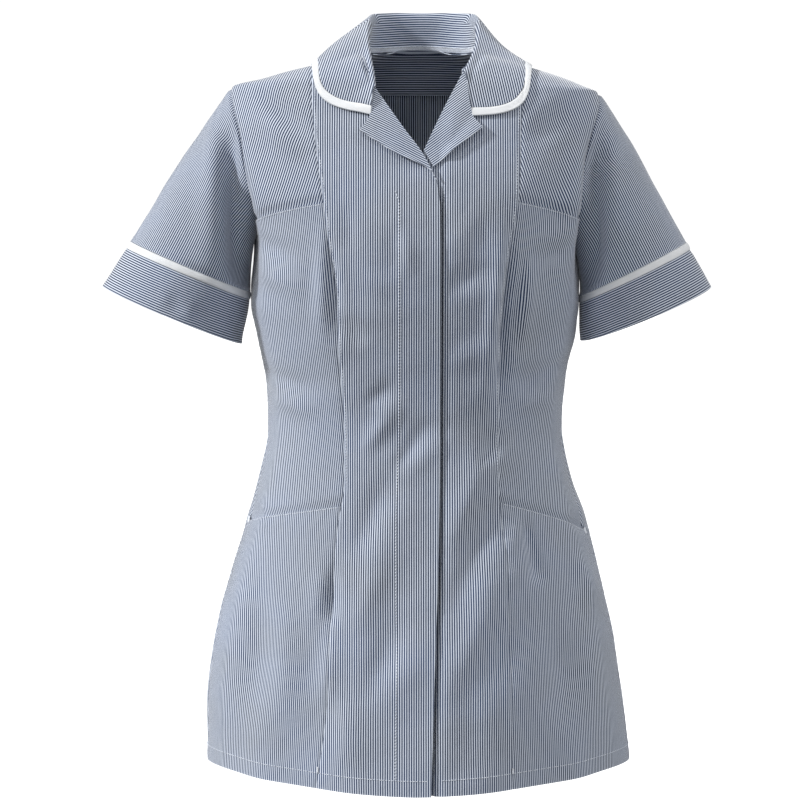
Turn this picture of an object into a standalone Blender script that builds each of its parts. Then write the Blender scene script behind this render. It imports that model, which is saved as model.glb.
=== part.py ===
"""Work tunic in striped cloth, hollow and filled out as when it is worn.

Lengths are in millimetres here and become metres when a mesh is made. The frame is +Z up with
the front towards -Y. Heights are measured from the neck points on the shoulder seams, which lie
at 0. Angles run round the body: 0 is centre front, 90 the wearer's left side seam, 180 centre
back and -90 the wearer's right side seam.
"""

import math
from collections import namedtuple

import bpy
import numpy as np

METRES = 0.001
WALL = 1.3
DOUBLE_WALL = 2.0
FACING_WALL = 1.0
SEAM_GAP = 0.3
LAYER_GAP = 0.35
HEM = -736.0
HEM_TURN = 20.0
HEM_RISE = 10.0
ARMPIT = -178.0
FRONT_ARMHOLE_DEPTH = 24.0
BACK_ARMHOLE_DEPTH = 26.0
POCKET_UNDERLAP = 15.0
BUTTON_UNDERLAP = 48.0
NAPE_RISE = 5.0
SHOULDER_SEAM_END = -14.3
BACK_HIP = -485.0
FACING_EASE = 1.0
GORGE_GAP = 2.0
FALL_BULGE = 2.2
LEFT_FALL_DROP = 4.5
COLLAR_CLEAR = 1.6
LAPEL_RISE = 1.6
LAPEL_TOP_TRIM = 0.12
COLLAR_TRIM = 6.5
ROLL_RADIUS = 2.0
ARMHOLE_STEPS = 12
AROUND_SLEEVE = 2 * ARMHOLE_STEPS
UNDER_LAYER = WALL + LAYER_GAP
LAP_CLEAR = 2.0
LAP_EASE = 13.0
LAP_SLACK = 0.25

RIGHT, LEFT = -1, 1

Ring = namedtuple("Ring", "height right left front back front_fullness back_fullness")
RINGS = [
    Ring(6, 44, 52, 32, 68, 0.20, 0.30),
    Ring(0, 54, 63, 46, 76, 0.22, 0.30),
    Ring(-7, 76, 86, 57, 82, 0.25, 0.30),
    Ring(-14, 103, 109, 66, 86, 0.28, 0.30),
    Ring(-20, 128, 129, 72, 89, 0.30, 0.30),
    Ring(-28, 157, 153, 78, 92, 0.30, 0.30),
    Ring(-35.5, 186, 171, 83, 95, 0.30, 0.30),
    Ring(-42, 190, 184.5, 86, 97, 0.30, 0.30),
    Ring(-70, 193.5, 191.5, 97, 103, 0.30, 0.28),
    Ring(-107, 191.5, 191, 109, 108, 0.28, 0.25),
    Ring(-142, 185, 185, 118, 110, 0.25, 0.22),
    Ring(-178, 171.5, 171.5, 123, 108, 0.22, 0.20),
    Ring(-200, 170.5, 170, 124, 106, 0.20, 0.18),
    Ring(-250, 169, 167.5, 121, 98, 0.15, 0.15),
    Ring(-292, 162, 160, 114, 90, 0.12, 0.10),
    Ring(-335, 153.5, 152.5, 107, 84, 0.10, 0.05),
    Ring(-380, 151, 149, 103, 83, 0.08, 0.05),
    Ring(-430, 161, 159, 105, 90, 0.05, 0.05),
    Ring(-480, 175, 175.5, 110, 102, 0.02, 0.02),
    Ring(-530, 191, 188.5, 116, 113, 0.00, 0.00),
    Ring(-600, 207.5, 204, 124, 124, -0.10, 0.00),
    Ring(-660, 214.7, 213, 129, 130, -0.20, -0.04),
    Ring(-740, 216.5, 222.5, 134, 135, -0.32, -0.08),
]

Seam = namedtuple("Seam", "height right left")
FRONT_PRINCESS = [
    Seam(-14.3, -103.5, 109.2),
    Seam(-50, -102.8, 104.5),
    Seam(-87, -100.3, 102.2),
    Seam(-120, -96, 101),
    Seam(-155, -91, 99),
    Seam(-204, -85.5, 92.5),
    Seam(-250, -79.5, 88.3),
    Seam(-297, -76.5, 85),
    Seam(-365, -72, 81.8),
    Seam(-434, -71.8, 82.3),
    Seam(-466, -76.8, 84.5),
    Seam(-500, -81, 88.5),
    Seam(-550, -84.5, 91),
    Seam(-624, -86.5, 93.5),
    Seam(-673, -91, 94.3),
    Seam(-740, -100.5, 95),
]
BACK_PRINCESS = [
    Seam(-14.3, -103.5, 109.2),
    Seam(-50, -98, 99),
    Seam(-150, -84, 86),
    Seam(-380, -62, 64),
    Seam(-500, -76, 78),
    Seam(-740, -96, 98),
]
SIDE_SEAM = [
    Seam(ARMPIT, -89.5, 89.5),
    Seam(-300, -87, 86),
    Seam(-430, -82, 80),
    Seam(-471, -80.5, 76.5),
    Seam(-479, -85.5, 76),
    Seam(-491, -85.5, 84.5),
    Seam(-600, -82.5, 84),
    Seam(-660, -82.5, 84.5),
    Seam(-740, -86, 86.5),
]

Point = namedtuple("Point", "x height")
LAP_EDGE = [
    Point(19.2, -133),
    Point(22.5, -153),
    Point(23, -367),
    Point(22, -489),
    Point(18, -609),
    Point(15.8, -682),
    Point(14.1, -740),
]
ROLL_LINE = {
    RIGHT: [Point(19.2, -133), Point(6.1, -107.9), Point(-14.2, -80.4), Point(-41.1, -41.4)],
    LEFT: [Point(-8.4, -134), Point(6.1, -105), Point(26.7, -62.6), Point(46.6, -25.5)],
}
NECK_EDGE = {
    RIGHT: [Point(-41.1, -41.4), Point(-47, -31), Point(-52, -20), Point(-56, -10), Point(-54, 0)],
    LEFT: [Point(46.6, -25.5), Point(53, -21), Point(59, -14), Point(64, -7), Point(63, 0)],
}
LAPEL_ROLL = {
    RIGHT: ROLL_LINE[RIGHT],
    LEFT: [Point(6.9, -104), Point(26.7, -62.6), Point(46.6, -25.5)],
}
LAPEL_EDGE = {
    RIGHT: [Point(17.5, -131), Point(13.8, -124.5), Point(-18.1, -109.3), Point(-54.2, -86.8)],
    LEFT: [Point(16.2, -120.5), Point(40, -101), Point(62.6, -83.6)],
}
LAPEL_NOTCH = {RIGHT: Point(-44.4, -71), LEFT: Point(53.6, -71)}

Mouth = namedtuple("Mouth", "princess_height side_height seam_height")
CHEST_EDGE = {RIGHT: Mouth(-155, -179.5, ARMPIT), LEFT: Mouth(-154, -179.5, ARMPIT)}
HIP_EDGE = {RIGHT: Mouth(-453, -479, -471), LEFT: Mouth(-449.5, -491, -481)}
HIP_LEVELS = 10
SIDE_LEVELS = 12
SHOULDER_CLIMB = [0, 0.14, 0.28, 0.42, 0.55, 0.67, 0.78, 0.87, 0.93, 0.97, 0.99, 1]
SHOULDER_TIP = {RIGHT: -35.5, LEFT: -41.5}

Station = namedtuple(
    "Station", "neck_angle neck_height roll_x roll_y roll_height edge_angle edge_height"
)
COLLAR_STATIONS = [
    Station(-12.7, -42, -41.1, -87, -41, -13.1, -70),
    Station(-15.2, -33, -42.0, -78, -32, -16.9, -67),
    Station(-20.7, -24, -43.2, -69, -23, -21.2, -64.3),
    Station(-29.5, -15.5, -45.3, -56, -12, -25.5, -60),
    Station(-41, -9.5, -47.0, -40, -1.6, -29.8, -51.5),
    Station(-56, -4.5, -48.5, -22, 11, -35, -32.5),
    Station(-75, -1, -48.5, -4, 22.6, -58, -18.6),
    Station(-90, 0, -47.5, 14, 31.6, -82, -14.8),
    Station(-115, 1, -44.0, 38, 41, -115, -16.5),
    Station(-138, 3, -32.0, 57, 44, -138, -18),
    Station(-159, 4.5, -15.0, 64, 45, -159, -19),
    Station(-180, 5, 4.0, 66, 45, -180, -19),
    Station(-201, 4.5, 24.0, 65, 45, -201, -19),
    Station(-222, 3, 45.0, 57, 44, -222, -18),
    Station(-245, 1, 59.0, 39, 41, -245, -17),
    Station(-270, 0, 62.5, 16, 32, -277, -16.7),
    Station(-285, -1, 62.5, -2, 26, -292, -18.5),
    Station(-304, -4.5, 61.5, -20, 14, -314, -29),
    Station(-318, -9, 59.5, -37, 3.5, -323, -43),
    Station(-328, -13.5, 56.5, -51, -5, -326.5, -58),
    Station(-334, -18, 53.0, -63, -13, -331.5, -66),
    Station(-339, -22, 49.5, -72, -20, -337.5, -69.5),
    Station(-342, -25.5, 46.6, -79, -26, -343.7, -70.7),
]

Opening = namedtuple("Opening", "outer_x outer_height inner_x inner_height depth")
SLEEVE_RINGS = {
    RIGHT: [
        Opening(-291.0, -191.6, -173.6, -243.5, 52),
        Opening(-294.9, -198.8, -174.4, -251.0, 53),
        Opening(-319.9, -237.0, -182.6, -296.2, 56),
    ],
    LEFT: [
        Opening(275.1, -192.7, 171.3, -247.5, 52),
        Opening(279.1, -200.2, 171.0, -254.5, 53),
        Opening(301.2, -237.5, 172.4, -292.8, 56),
    ],
}
ARM_FORWARD = -4.0
SLEEVE_BULGE = 6.0

Fold = namedtuple("Fold", "x1 y1 z1 x2 y2 z2 width depth")
FOLDS = [
    Fold(-78, -98, -470, -84, -104, -560, 9, -2.6),
    Fold(112, -88, -462, 124, -92, -520, 10, -2.6),
    Fold(-62, -118, -560, -60, -118, -725, 26, 3.0),
    Fold(60, -118, -560, 62, -118, -725, 28, 3.0),
    Fold(-150, -80, -600, -158, -84, -730, 26, 3.5),
    Fold(150, -78, -600, 160, -82, -730, 26, 3.5),
    Fold(-60, 116, -540, -70, 124, -730, 30, 4.0),
    Fold(64, 114, -540, 76, 124, -730, 30, 4.0),
    Fold(-160, 78, -560, -168, 84, -730, 28, 4.0),
    Fold(160, 78, -560, 170, 84, -730, 28, 4.0),
    Fold(-118, -78, -190, -70, -100, -330, 26, 2.5),
    Fold(118, -78, -190, 72, -100, -330, 26, 2.5),
]

CLOTH_BLUE = (0.19, 0.27, 0.40)
COLLAR_BLUE = (0.17, 0.25, 0.38)
TRIM_WHITE = (0.85, 0.86, 0.88)


def smooth(places, values):
    """A monotone curve through a few values, as a function of place."""
    order = np.argsort(places)
    x = np.asarray(places, float)[order]
    y = np.asarray(values, float)[order]
    steps = np.diff(x)
    slopes = np.diff(y) / steps
    tangents = np.zeros(len(x))
    tangents[0] = slopes[0]
    tangents[-1] = slopes[-1]
    for i in range(1, len(x) - 1):
        if slopes[i - 1] * slopes[i] > 0:
            before = 2 * steps[i] + steps[i - 1]
            after = steps[i] + 2 * steps[i - 1]
            tangents[i] = (before + after) / (before / slopes[i - 1] + after / slopes[i])

    def at(place):
        place = np.clip(np.asarray(place, float), x[0], x[-1])
        i = np.clip(np.searchsorted(x, place) - 1, 0, len(x) - 2)
        t = (place - x[i]) / steps[i]
        return (
            (1 + 2 * t) * (1 - t) ** 2 * y[i]
            + t * (1 - t) ** 2 * steps[i] * tangents[i]
            + t * t * (3 - 2 * t) * y[i + 1]
            + t * t * (t - 1) * steps[i] * tangents[i + 1]
        )

    return at


def column(table, place, name):
    """One named column of a table, smoothed along another."""
    return smooth([getattr(row, place) for row in table], [getattr(row, name) for row in table])


WIDTH = {RIGHT: column(RINGS, "height", "right"), LEFT: column(RINGS, "height", "left")}
FRONT_DEPTH = column(RINGS, "height", "front")
BACK_DEPTH = column(RINGS, "height", "back")
FRONT_FULLNESS = column(RINGS, "height", "front_fullness")
BACK_FULLNESS = column(RINGS, "height", "back_fullness")
FRONT_SEAM = {RIGHT: column(FRONT_PRINCESS, "height", "right"),
              LEFT: column(FRONT_PRINCESS, "height", "left")}
BACK_SEAM = {RIGHT: column(BACK_PRINCESS, "height", "right"),
             LEFT: column(BACK_PRINCESS, "height", "left")}
SIDE_ANGLE = {RIGHT: column(SIDE_SEAM, "height", "right"),
              LEFT: column(SIDE_SEAM, "height", "left")}
LAP_X = column(LAP_EDGE, "height", "x")
ROLL_X = {side: column(ROLL_LINE[side], "height", "x") for side in (RIGHT, LEFT)}


def body_ring(angle, height):
    """The plain ring shape of the body of the tunic, without folds."""
    turn = np.radians(angle)
    across, along = np.sin(turn), np.cos(turn)
    half = np.where(across < 0, WIDTH[RIGHT](height), WIDTH[LEFT](height))
    depth = np.where(along > 0, FRONT_DEPTH(height), BACK_DEPTH(height))
    fullness = np.where(along > 0, FRONT_FULLNESS(height), BACK_FULLNESS(height))
    y = -depth * along * (1 + fullness * across**2)
    rise = HEM_RISE * np.abs(across) ** 1.3 * ramp(-np.asarray(height), 560, -HEM)
    return np.stack([half * across, y, height + rise], axis=-1)


def unit(vectors):
    return vectors / np.maximum(np.linalg.norm(vectors, axis=-1, keepdims=True), 1e-9)


def body_normal(angle, height):
    """The direction straight out of the cloth."""
    around = body_ring(angle + 0.5, height) - body_ring(angle - 0.5, height)
    up = body_ring(angle, height + 0.5) - body_ring(angle, height - 0.5)
    return unit(np.cross(around, up))


def fold_height(points):
    """How far the largest folds raise or sink the cloth at these points."""
    total = np.zeros(points.shape[:-1])
    for fold in FOLDS:
        start = np.array([fold.x1, fold.y1, fold.z1], float)
        run = np.array([fold.x2, fold.y2, fold.z2], float) - start
        along = np.clip((points - start) @ run / (run @ run), 0, 1)
        away = np.linalg.norm(points - (start + along[..., None] * run), axis=-1)
        fade = np.sin(math.pi * np.clip(along, 0.0, 0.75) / 1.5) ** 2
        total += fold.depth * fade * np.exp(-((away / fold.width) ** 2))
    return total


def body(angle, height, out=0.0):
    """A point on the cloth, moved out from it by a distance."""
    angle = np.asarray(angle, float)
    height = np.asarray(height, float)
    points = body_ring(angle, height)
    lift = fold_height(points) + out
    return points + body_normal(angle, height) * lift[..., None]


def angle_at(x, height):
    """The angle on the front that lies at this distance from the centre."""
    half = np.where(np.asarray(x) < 0, WIDTH[RIGHT](height), WIDTH[LEFT](height))
    return np.degrees(np.arcsin(np.clip(x / half, -1, 1)))


def ramp(value, start, end):
    """Runs smoothly from 0 at start to 1 at end."""
    t = np.clip((value - start) / (end - start), 0, 1)
    return t * t * (3 - 2 * t)


def follow(points, count):
    """Evenly spaced points on a smooth line through a few, as angle and height."""
    xs = np.array([p.x for p in points], float)
    heights = np.array([p.height for p in points], float)
    places = np.concatenate([[0], np.cumsum(np.hypot(np.diff(xs), np.diff(heights)))])
    at = np.linspace(0, places[-1], count)
    x, height = smooth(places, xs)(at), smooth(places, heights)(at)
    return np.stack([x, height], axis=-1)


def on_front(line):
    """Turns distance from the centre and height into angle and height."""
    return np.stack([angle_at(line[:, 0], line[:, 1]), line[:, 1]], axis=-1)


def seam_points(heights, x_at, back=False):
    """A lengthwise seam as angle and height."""
    heights = np.asarray(heights, float)
    angles = angle_at(x_at(heights), heights)
    angles = np.where(heights >= SHOULDER_SEAM_END - 0.01, np.sign(angles) * 90, angles)
    if back:
        angles = np.where(angles < 0, -180 - angles, 180 - angles)
    return np.stack([angles, heights], axis=-1)


def armhole(side, turn):
    """The armhole as angle and height: 0 at the shoulder tip, 90 in front, 180 at the armpit."""
    turn = np.radians(turn)
    tip = SHOULDER_TIP[side]
    height = (tip + ARMPIT) / 2 + (tip - ARMPIT) / 2 * np.cos(turn)
    depth = np.where(np.sin(turn) > 0, FRONT_ARMHOLE_DEPTH, BACK_ARMHOLE_DEPTH)
    return np.stack([side * (90 - depth * np.sin(turn)), height], axis=-1)


def between(starts, ends, columns, bow=None, shares=None):
    """Rows of angle and height between two edges, each row straight or bowed up."""
    share = np.linspace(0, 1, columns)[None, :] if shares is None else shares
    share = share[..., None]
    rows = starts[:, None, :] * (1 - share) + ends[:, None, :] * share
    if bow is not None:
        rows[..., 1] += np.asarray(bow)[:, None] * np.sin(math.pi * share[..., 0])
    return rows


def trimmed(outer, inner, amount=SEAM_GAP / 2):
    """Draws the four edges of a panel in by half a seam gap."""
    for axis in (0, 1):
        for edge, next_in in ((0, 1), (-1, -2)):
            for sheet in (outer, inner):
                rim = np.take(sheet, edge, axis)
                pull = unit(np.take(sheet, next_in, axis) - rim) * amount
                index = (edge, slice(None)) if axis == 0 else (slice(None), edge)
                sheet[index] = rim + pull
    return outer, inner


def material(name, colour, roughness):
    made = bpy.data.materials.new(name)
    made.use_nodes = True
    shader = made.node_tree.nodes["Principled BSDF"]
    shader.inputs["Base Color"].default_value = (*colour, 1)
    shader.inputs["Roughness"].default_value = roughness
    shader.inputs["Metallic"].default_value = 0
    return made


def solid(name, outer, inner, colour=CLOTH_BLUE, tube=False):
    """Makes one closed wall from the points of its outer and inner faces."""
    rows, columns = outer.shape[:2]
    count = rows * columns

    def at(row, col):
        return row * columns + col % columns

    faces = []
    for row in range(rows - 1):
        for col in range(columns if tube else columns - 1):
            quad = (at(row, col), at(row, col + 1), at(row + 1, col + 1), at(row + 1, col))
            faces.append(quad)
            faces.append(tuple(count + i for i in reversed(quad)))
    for col in range(columns if tube else columns - 1):
        for row, order in ((0, 1), (rows - 1, -1)):
            a, b = at(row, col), at(row, col + 1)
            rim = (b, a, count + a, count + b)
            faces.append(rim[::order])
    for row in range(0 if tube else rows - 1):
        for col, order in ((0, 1), (columns - 1, -1)):
            a, b = at(row, col), at(row + 1, col)
            rim = (a, b, count + b, count + a)
            faces.append(rim[::order])
    points = np.concatenate([outer.reshape(-1, 3), inner.reshape(-1, 3)])
    corners = points[np.array(faces)]
    volume = 0.0
    for second, third in ((1, 2), (2, 3)):
        crossed = np.cross(corners[:, second], corners[:, third])
        volume += np.einsum("ij,ij->", corners[:, 0], crossed)
    if volume < 0:
        faces = [face[::-1] for face in faces]
    mesh = bpy.data.meshes.new(name)
    mesh.from_pydata((points * METRES).tolist(), [], faces)
    mesh.shade_smooth()
    mesh.set_sharp_from_angle(angle=math.radians(50))
    made = bpy.data.objects.new(name, mesh)
    made.data.materials.append(material(f"{name}_finish", colour, 0.85))
    bpy.context.scene.collection.objects.link(made)
    return made


def panel(name, rows, out=0.0, wall=WALL, colour=CLOTH_BLUE):
    """A cut piece lying on the body: rows of angle and height, given a wall."""
    angles, heights = rows[..., 0], rows[..., 1]
    outer = body(angles, heights, out)
    thick = np.where(heights < HEM + HEM_TURN, 2 * wall, wall) + 0 * np.asarray(out)
    inner = body(angles, heights, out - thick)
    return solid(name, *trimmed(outer, inner), colour)


def side_name(side):
    return "right" if side == RIGHT else "left"


def lap_sink(rows):
    """How far the left front sinks to pass under the right front, whose hem is doubled."""
    height = rows[..., 1]
    x = body_ring(rows[..., 0], height)[..., 0]
    edge = LAP_X(height)
    turned = WALL * (1 - ramp(height, HEM, HEM + HEM_TURN))
    under = (1 - ramp(x, edge + LAP_CLEAR, edge + LAP_EASE)) * ramp(-height, 84, 104)
    return -(UNDER_LAYER + LAP_SLACK + turned) * under


def princess_levels(side):
    """The heights along a princess seam: hip piece, side piece and shoulder piece in turn."""
    hip, chest = HIP_EDGE[side].princess_height, CHEST_EDGE[side].princess_height
    lower = np.linspace(HEM, hip, HIP_LEVELS)
    middle = np.linspace(hip, chest, SIDE_LEVELS)
    upper = chest + np.array(SHOULDER_CLIMB) * (SHOULDER_SEAM_END - chest)
    return lower, middle, upper


def side_levels(side):
    """The heights along a side seam: hip piece, then side piece up to the armpit."""
    hip = HIP_EDGE[side]
    lower = np.linspace(HEM, hip.side_height, HIP_LEVELS)
    return lower, np.linspace(hip.seam_height, ARMPIT, SIDE_LEVELS)


def side_seam(side, heights):
    return np.stack([SIDE_ANGLE[side](heights), heights], axis=-1)


def front_centre(side):
    """A centre front, from hem to shoulder, its neck cut back to the roll line."""
    middle = LAP_X if side == RIGHT else (lambda height: LAP_X(height) - BUTTON_UNDERLAP)
    lower, side_part, upper = princess_levels(side)
    heights = np.concatenate([lower, side_part[1:]])
    edge = np.stack([angle_at(middle(heights), heights), heights], axis=-1)
    roll = on_front(follow(ROLL_LINE[side], 7))
    neck = on_front(follow(NECK_EDGE[side], 5))[1:]
    inner_edge = np.concatenate([edge, roll, neck])
    princess = seam_points(np.concatenate([heights, upper[1:]]), FRONT_SEAM[side])
    shares = lap_shares(inner_edge, princess) if side == LEFT else None
    rows = between(inner_edge, princess, 9, shares=shares)
    out = lap_sink(rows) if side == LEFT else 0.0
    return panel(f"front_centre_{side_name(side)}", rows, out)


def lap_shares(inner_edge, princess):
    """Column places of the left front, with one on each side of the step at the lap edge."""
    heights = inner_edge[:, 1]
    span = princess[:, 0] - inner_edge[:, 0]
    steps = [(angle_at(LAP_X(heights) + clear, heights) - inner_edge[:, 0]) / span
             for clear in (LAP_CLEAR, LAP_EASE)]
    edge, ease = np.clip(steps[0], 0.16, 0.8), np.clip(steps[1], 0.26, 0.88)
    under = [edge * t for t in (0, 1 / 3, 2 / 3, 1)]
    over = [ease + (1 - ease) * t for t in (0, 0.2, 0.4, 0.6, 0.8, 1)]
    return np.stack(under + over, axis=-1)


def sunk_edge(rows):
    """Sinks the two lowest rows of a piece, where the piece below laps over it."""
    out = np.zeros(rows.shape[:2])
    out[:2] = -UNDER_LAYER - 0.2
    return out


def front_yoke(side):
    """The shoulder piece between princess seam and armhole. It runs on under the chest edge."""
    upper = princess_levels(side)[2]
    heights = np.concatenate([[upper[0] - POCKET_UNDERLAP], upper])
    princess = seam_points(heights, FRONT_SEAM[side])
    edge = armhole(side, np.linspace(180, 0, ARMHOLE_STEPS + 1))
    rows = between(princess, edge, 9)
    return panel(f"front_yoke_{side_name(side)}", rows, sunk_edge(rows))


def front_side(side):
    """The side front, from the chest edge to under the hip edge."""
    levels, seam_heights = princess_levels(side)[1], side_levels(side)[1]
    seam_heights[-1] = CHEST_EDGE[side].side_height
    princess = seam_points(levels, FRONT_SEAM[side])
    seam = side_seam(side, seam_heights)
    drop = np.array([[0, POCKET_UNDERLAP]])
    princess = np.concatenate([princess[:1] - drop, princess])
    seam = np.concatenate([seam[:1] - drop, seam])
    rows = between(princess, seam, 10)
    return panel(f"front_side_{side_name(side)}", rows, sunk_edge(rows))


def front_hip(side):
    """The hip piece, whose top edge is the pocket mouth."""
    princess = seam_points(princess_levels(side)[0], FRONT_SEAM[side])
    seam = side_seam(side, side_levels(side)[0])
    return panel(f"front_hip_{side_name(side)}", between(princess, seam, 10))


def back_levels():
    """The heights along the back princess seams, as many as the side backs have rows."""
    lower = np.linspace(HEM, BACK_HIP, HIP_LEVELS)
    middle = np.linspace(BACK_HIP + 15, ARMPIT, SIDE_LEVELS)
    places = np.linspace(0, 1, len(SHOULDER_CLIMB))
    steps = np.interp(np.linspace(0, 1, ARMHOLE_STEPS + 1), places, SHOULDER_CLIMB)
    upper = ARMPIT + steps * (SHOULDER_SEAM_END - ARMPIT)
    return np.concatenate([lower, middle, upper[1:]])


def back_side(side):
    """The side back, from side seam and armhole to the back princess seam."""
    lower, upper = side_levels(side)
    hole = armhole(side, np.linspace(180, 360, ARMHOLE_STEPS + 1))[1:]
    edge = np.concatenate([side_seam(side, lower), side_seam(side, upper), hole])
    princess = seam_points(back_levels(), BACK_SEAM[side], back=True)
    return panel(f"back_side_{side_name(side)}", between(edge, princess, 8))


def back_centre():
    """The centre back, in one piece from hem to neck."""
    right = seam_points(back_levels(), BACK_SEAM[RIGHT], back=True)
    left = seam_points(back_levels(), BACK_SEAM[LEFT], back=True)
    shoulder = np.array([-11.0, -7.5, -4.0, 0.0])
    right = np.concatenate([right, np.stack([np.full(4, -90.0), shoulder], axis=-1)])
    left = np.concatenate([left, np.stack([np.full(4, 90.0), shoulder], axis=-1)])
    left[:, 0] -= 360
    bow = np.zeros(len(right))
    bow[-8:] = np.linspace(0, NAPE_RISE, 8)
    return panel("back_centre", between(right, left, 15, bow))


def back_neck_facing():
    """The band inside the back neck."""
    angles = np.linspace(-96, -264, 23)
    share = np.abs(angles + 180) / 84
    top = NAPE_RISE * np.cos(share * math.pi / 2) - 1.2
    bottom = -37 + 26 * share**2.2
    rows = np.stack([np.stack([angles, bottom + (top - bottom) * t], axis=-1)
                     for t in np.linspace(0, 1, 6)])
    return panel("back_neck_facing", rows, -UNDER_LAYER - FACING_EASE, FACING_WALL)


def lapel(side):
    """A lapel, folded out over the front along the roll line. Its first row is its lowest."""
    count, columns = 9, 6
    roll = follow(LAPEL_ROLL[side], count)
    edge = follow(LAPEL_EDGE[side], count)
    share = np.linspace(0, 1, columns)[None, :, None]
    grid = roll[:, None, :] * (1 - share) + edge[:, None, :] * share
    top = follow([ROLL_LINE[side][-1], LAPEL_NOTCH[side], LAPEL_EDGE[side][-1]], columns)
    climb = np.linspace(0, 1, count)[:, None]
    grid += ramp(climb, 0.45, 1.0)[..., None] * (top - grid[-1])
    grid[-1] += (grid[-2] - grid[-1]) * LAPEL_TOP_TRIM
    rows = on_front(grid.reshape(-1, 2)).reshape(grid.shape)
    sink = lap_sink(rows) if side == LEFT else 0.0
    rise = LAPEL_RISE * np.sin(math.pi * share[..., 0]) ** 2 * ramp(climb, 0.2, 0.6)
    lift = LAYER_GAP + DOUBLE_WALL + rise
    return panel(f"lapel_{side_name(side)}", rows, sink + lift, DOUBLE_WALL)


def around_neck(name, count):
    """One column of the collar stations, spread evenly over the count."""
    places = np.arange(len(COLLAR_STATIONS))
    values = [getattr(station, name) for station in COLLAR_STATIONS]
    return smooth(places, values)(np.linspace(0, places[-1], count))


def pushed_out(points, clearance):
    """Moves what would sink into the body out along the cloth's normal, to rest on it."""
    moved = points.copy()
    for _ in range(6):
        x, y, height = moved[..., 0], moved[..., 1], moved[..., 2]
        half = np.where(x < 0, WIDTH[RIGHT](height), WIDTH[LEFT](height))
        depth = np.where(y < 0, FRONT_DEPTH(height), BACK_DEPTH(height))
        fullness = np.where(y < 0, FRONT_FULLNESS(height), BACK_FULLNESS(height))
        turn = np.arctan2(x / half, -y / depth)
        for _ in range(4):
            turn = np.arctan2(x / half, -y / (depth * (1 + fullness * np.sin(turn) ** 2)))
        angle = np.degrees(turn)
        normal = body_normal(angle, height)
        distance = ((moved - body(angle, height)) * normal).sum(axis=-1)
        short = np.where(height < 5, np.maximum(clearance - distance, 0), 0)
        moved = moved + normal * short[..., None]
    return moved


def collar_surface(count, steps):
    """The middle of the collar cloth: up the stand, over the roll and down to the edge."""
    neck_angle, neck_height = around_neck("neck_angle", count), around_neck("neck_height", count)
    neck = body(neck_angle, neck_height, -WALL / 2)
    inward = -neck * np.array([1, 1, 0])
    neck = neck + unit(inward) * 1.5 + np.array([0, 0, 1.6])
    roll = np.stack([around_neck(n, count) for n in ("roll_x", "roll_y", "roll_height")], -1)
    edge_angle, edge_height = around_neck("edge_angle", count), around_neck("edge_height", count)
    edge = body(edge_angle, edge_height, LAYER_GAP + DOUBLE_WALL)
    outward = unit((edge - roll) * np.array([1, 1, 0]))
    up = np.array([0, 0, 1.0])
    inner_roll = roll - outward * ROLL_RADIUS * 0.4 - up * ROLL_RADIUS
    top = roll + outward * ROLL_RADIUS * 0.6
    outer_roll = roll + outward * ROLL_RADIUS * 1.9 - up * ROLL_RADIUS
    bulge = (FALL_BULGE - LEFT_FALL_DROP * ramp(roll[:, 0], 20, 60))[:, None]
    middle = (outer_roll + edge) / 2 + (outward + up) * bulge
    knots = np.stack([neck, inner_roll, top, outer_roll, middle, edge])
    places = [0, 0.3, 0.36, 0.42, 0.7, 1.0]
    return spline(knots, places, steps)


def spline(knots, places, steps):
    """A smooth line through knots, sampled at the steps. Each knot is a whole row of points."""
    places = np.asarray(places, float)
    slopes = np.gradient(knots, places, axis=0)
    made = []
    for step in steps:
        i = int(np.clip(np.searchsorted(places, step) - 1, 0, len(places) - 2))
        width = places[i + 1] - places[i]
        t = (step - places[i]) / width
        made.append(
            (1 + 2 * t) * (1 - t) ** 2 * knots[i]
            + t * (1 - t) ** 2 * width * slopes[i]
            + t * t * (3 - 2 * t) * knots[i + 1]
            + t * t * (t - 1) * width * slopes[i + 1]
        )
    return np.stack(made)


def sheet_normals(grid, tube=False):
    """The direction out of a grid of points, worked out from its neighbours."""
    if tube:
        across = np.roll(grid, -1, axis=1) - np.roll(grid, 1, axis=1)
    else:
        across = np.gradient(grid, axis=1)
    along = np.gradient(grid, axis=0)
    return unit(np.cross(across, along))


def collar_pieces():
    """The collar, and the white trim along its edge."""
    count = 45
    trim_share = COLLAR_TRIM / 62 * 0.6
    cloth_steps = [0, 0.12, 0.24, 0.3, 0.33, 0.36, 0.39, 0.42, 0.52, 0.62, 0.74, 0.86,
                   1 - trim_share]
    gap_share = 1.4 * SEAM_GAP / 62 * 0.6
    trim_steps = [1 - trim_share + gap_share, 1 - trim_share / 2, 1.0]
    all_steps = cloth_steps + trim_steps
    grid = collar_surface(count, all_steps)
    for end, next_in in ((0, 1), (-1, -2)):
        grid[:, end] += unit(grid[:, next_in] - grid[:, end]) * GORGE_GAP
    grid = pushed_out(grid, DOUBLE_WALL / 2 + COLLAR_CLEAR)
    normals = sheet_normals(grid)
    half = DOUBLE_WALL / 2
    split = len(cloth_steps)
    for name, part, colour in (
        ("collar", slice(0, split), COLLAR_BLUE),
        ("collar_piping", slice(split, None), TRIM_WHITE),
    ):
        outer = grid[part] + normals[part] * half
        inner = grid[part] - normals[part] * half
        solid(name, outer, inner, colour)


def cuff_ring(ring, turns):
    """An oval ring of the sleeve, level with the sleeve's hem."""
    outer = np.array([ring.outer_x, ARM_FORWARD, ring.outer_height])
    inner = np.array([ring.inner_x, ARM_FORWARD, ring.inner_height])
    centre, reach = (outer + inner) / 2, (outer - inner) / 2
    turns = np.radians(turns)[:, None]
    return centre + reach * np.cos(turns) - np.array([0, ring.depth, 0]) * np.sin(turns)


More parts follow.
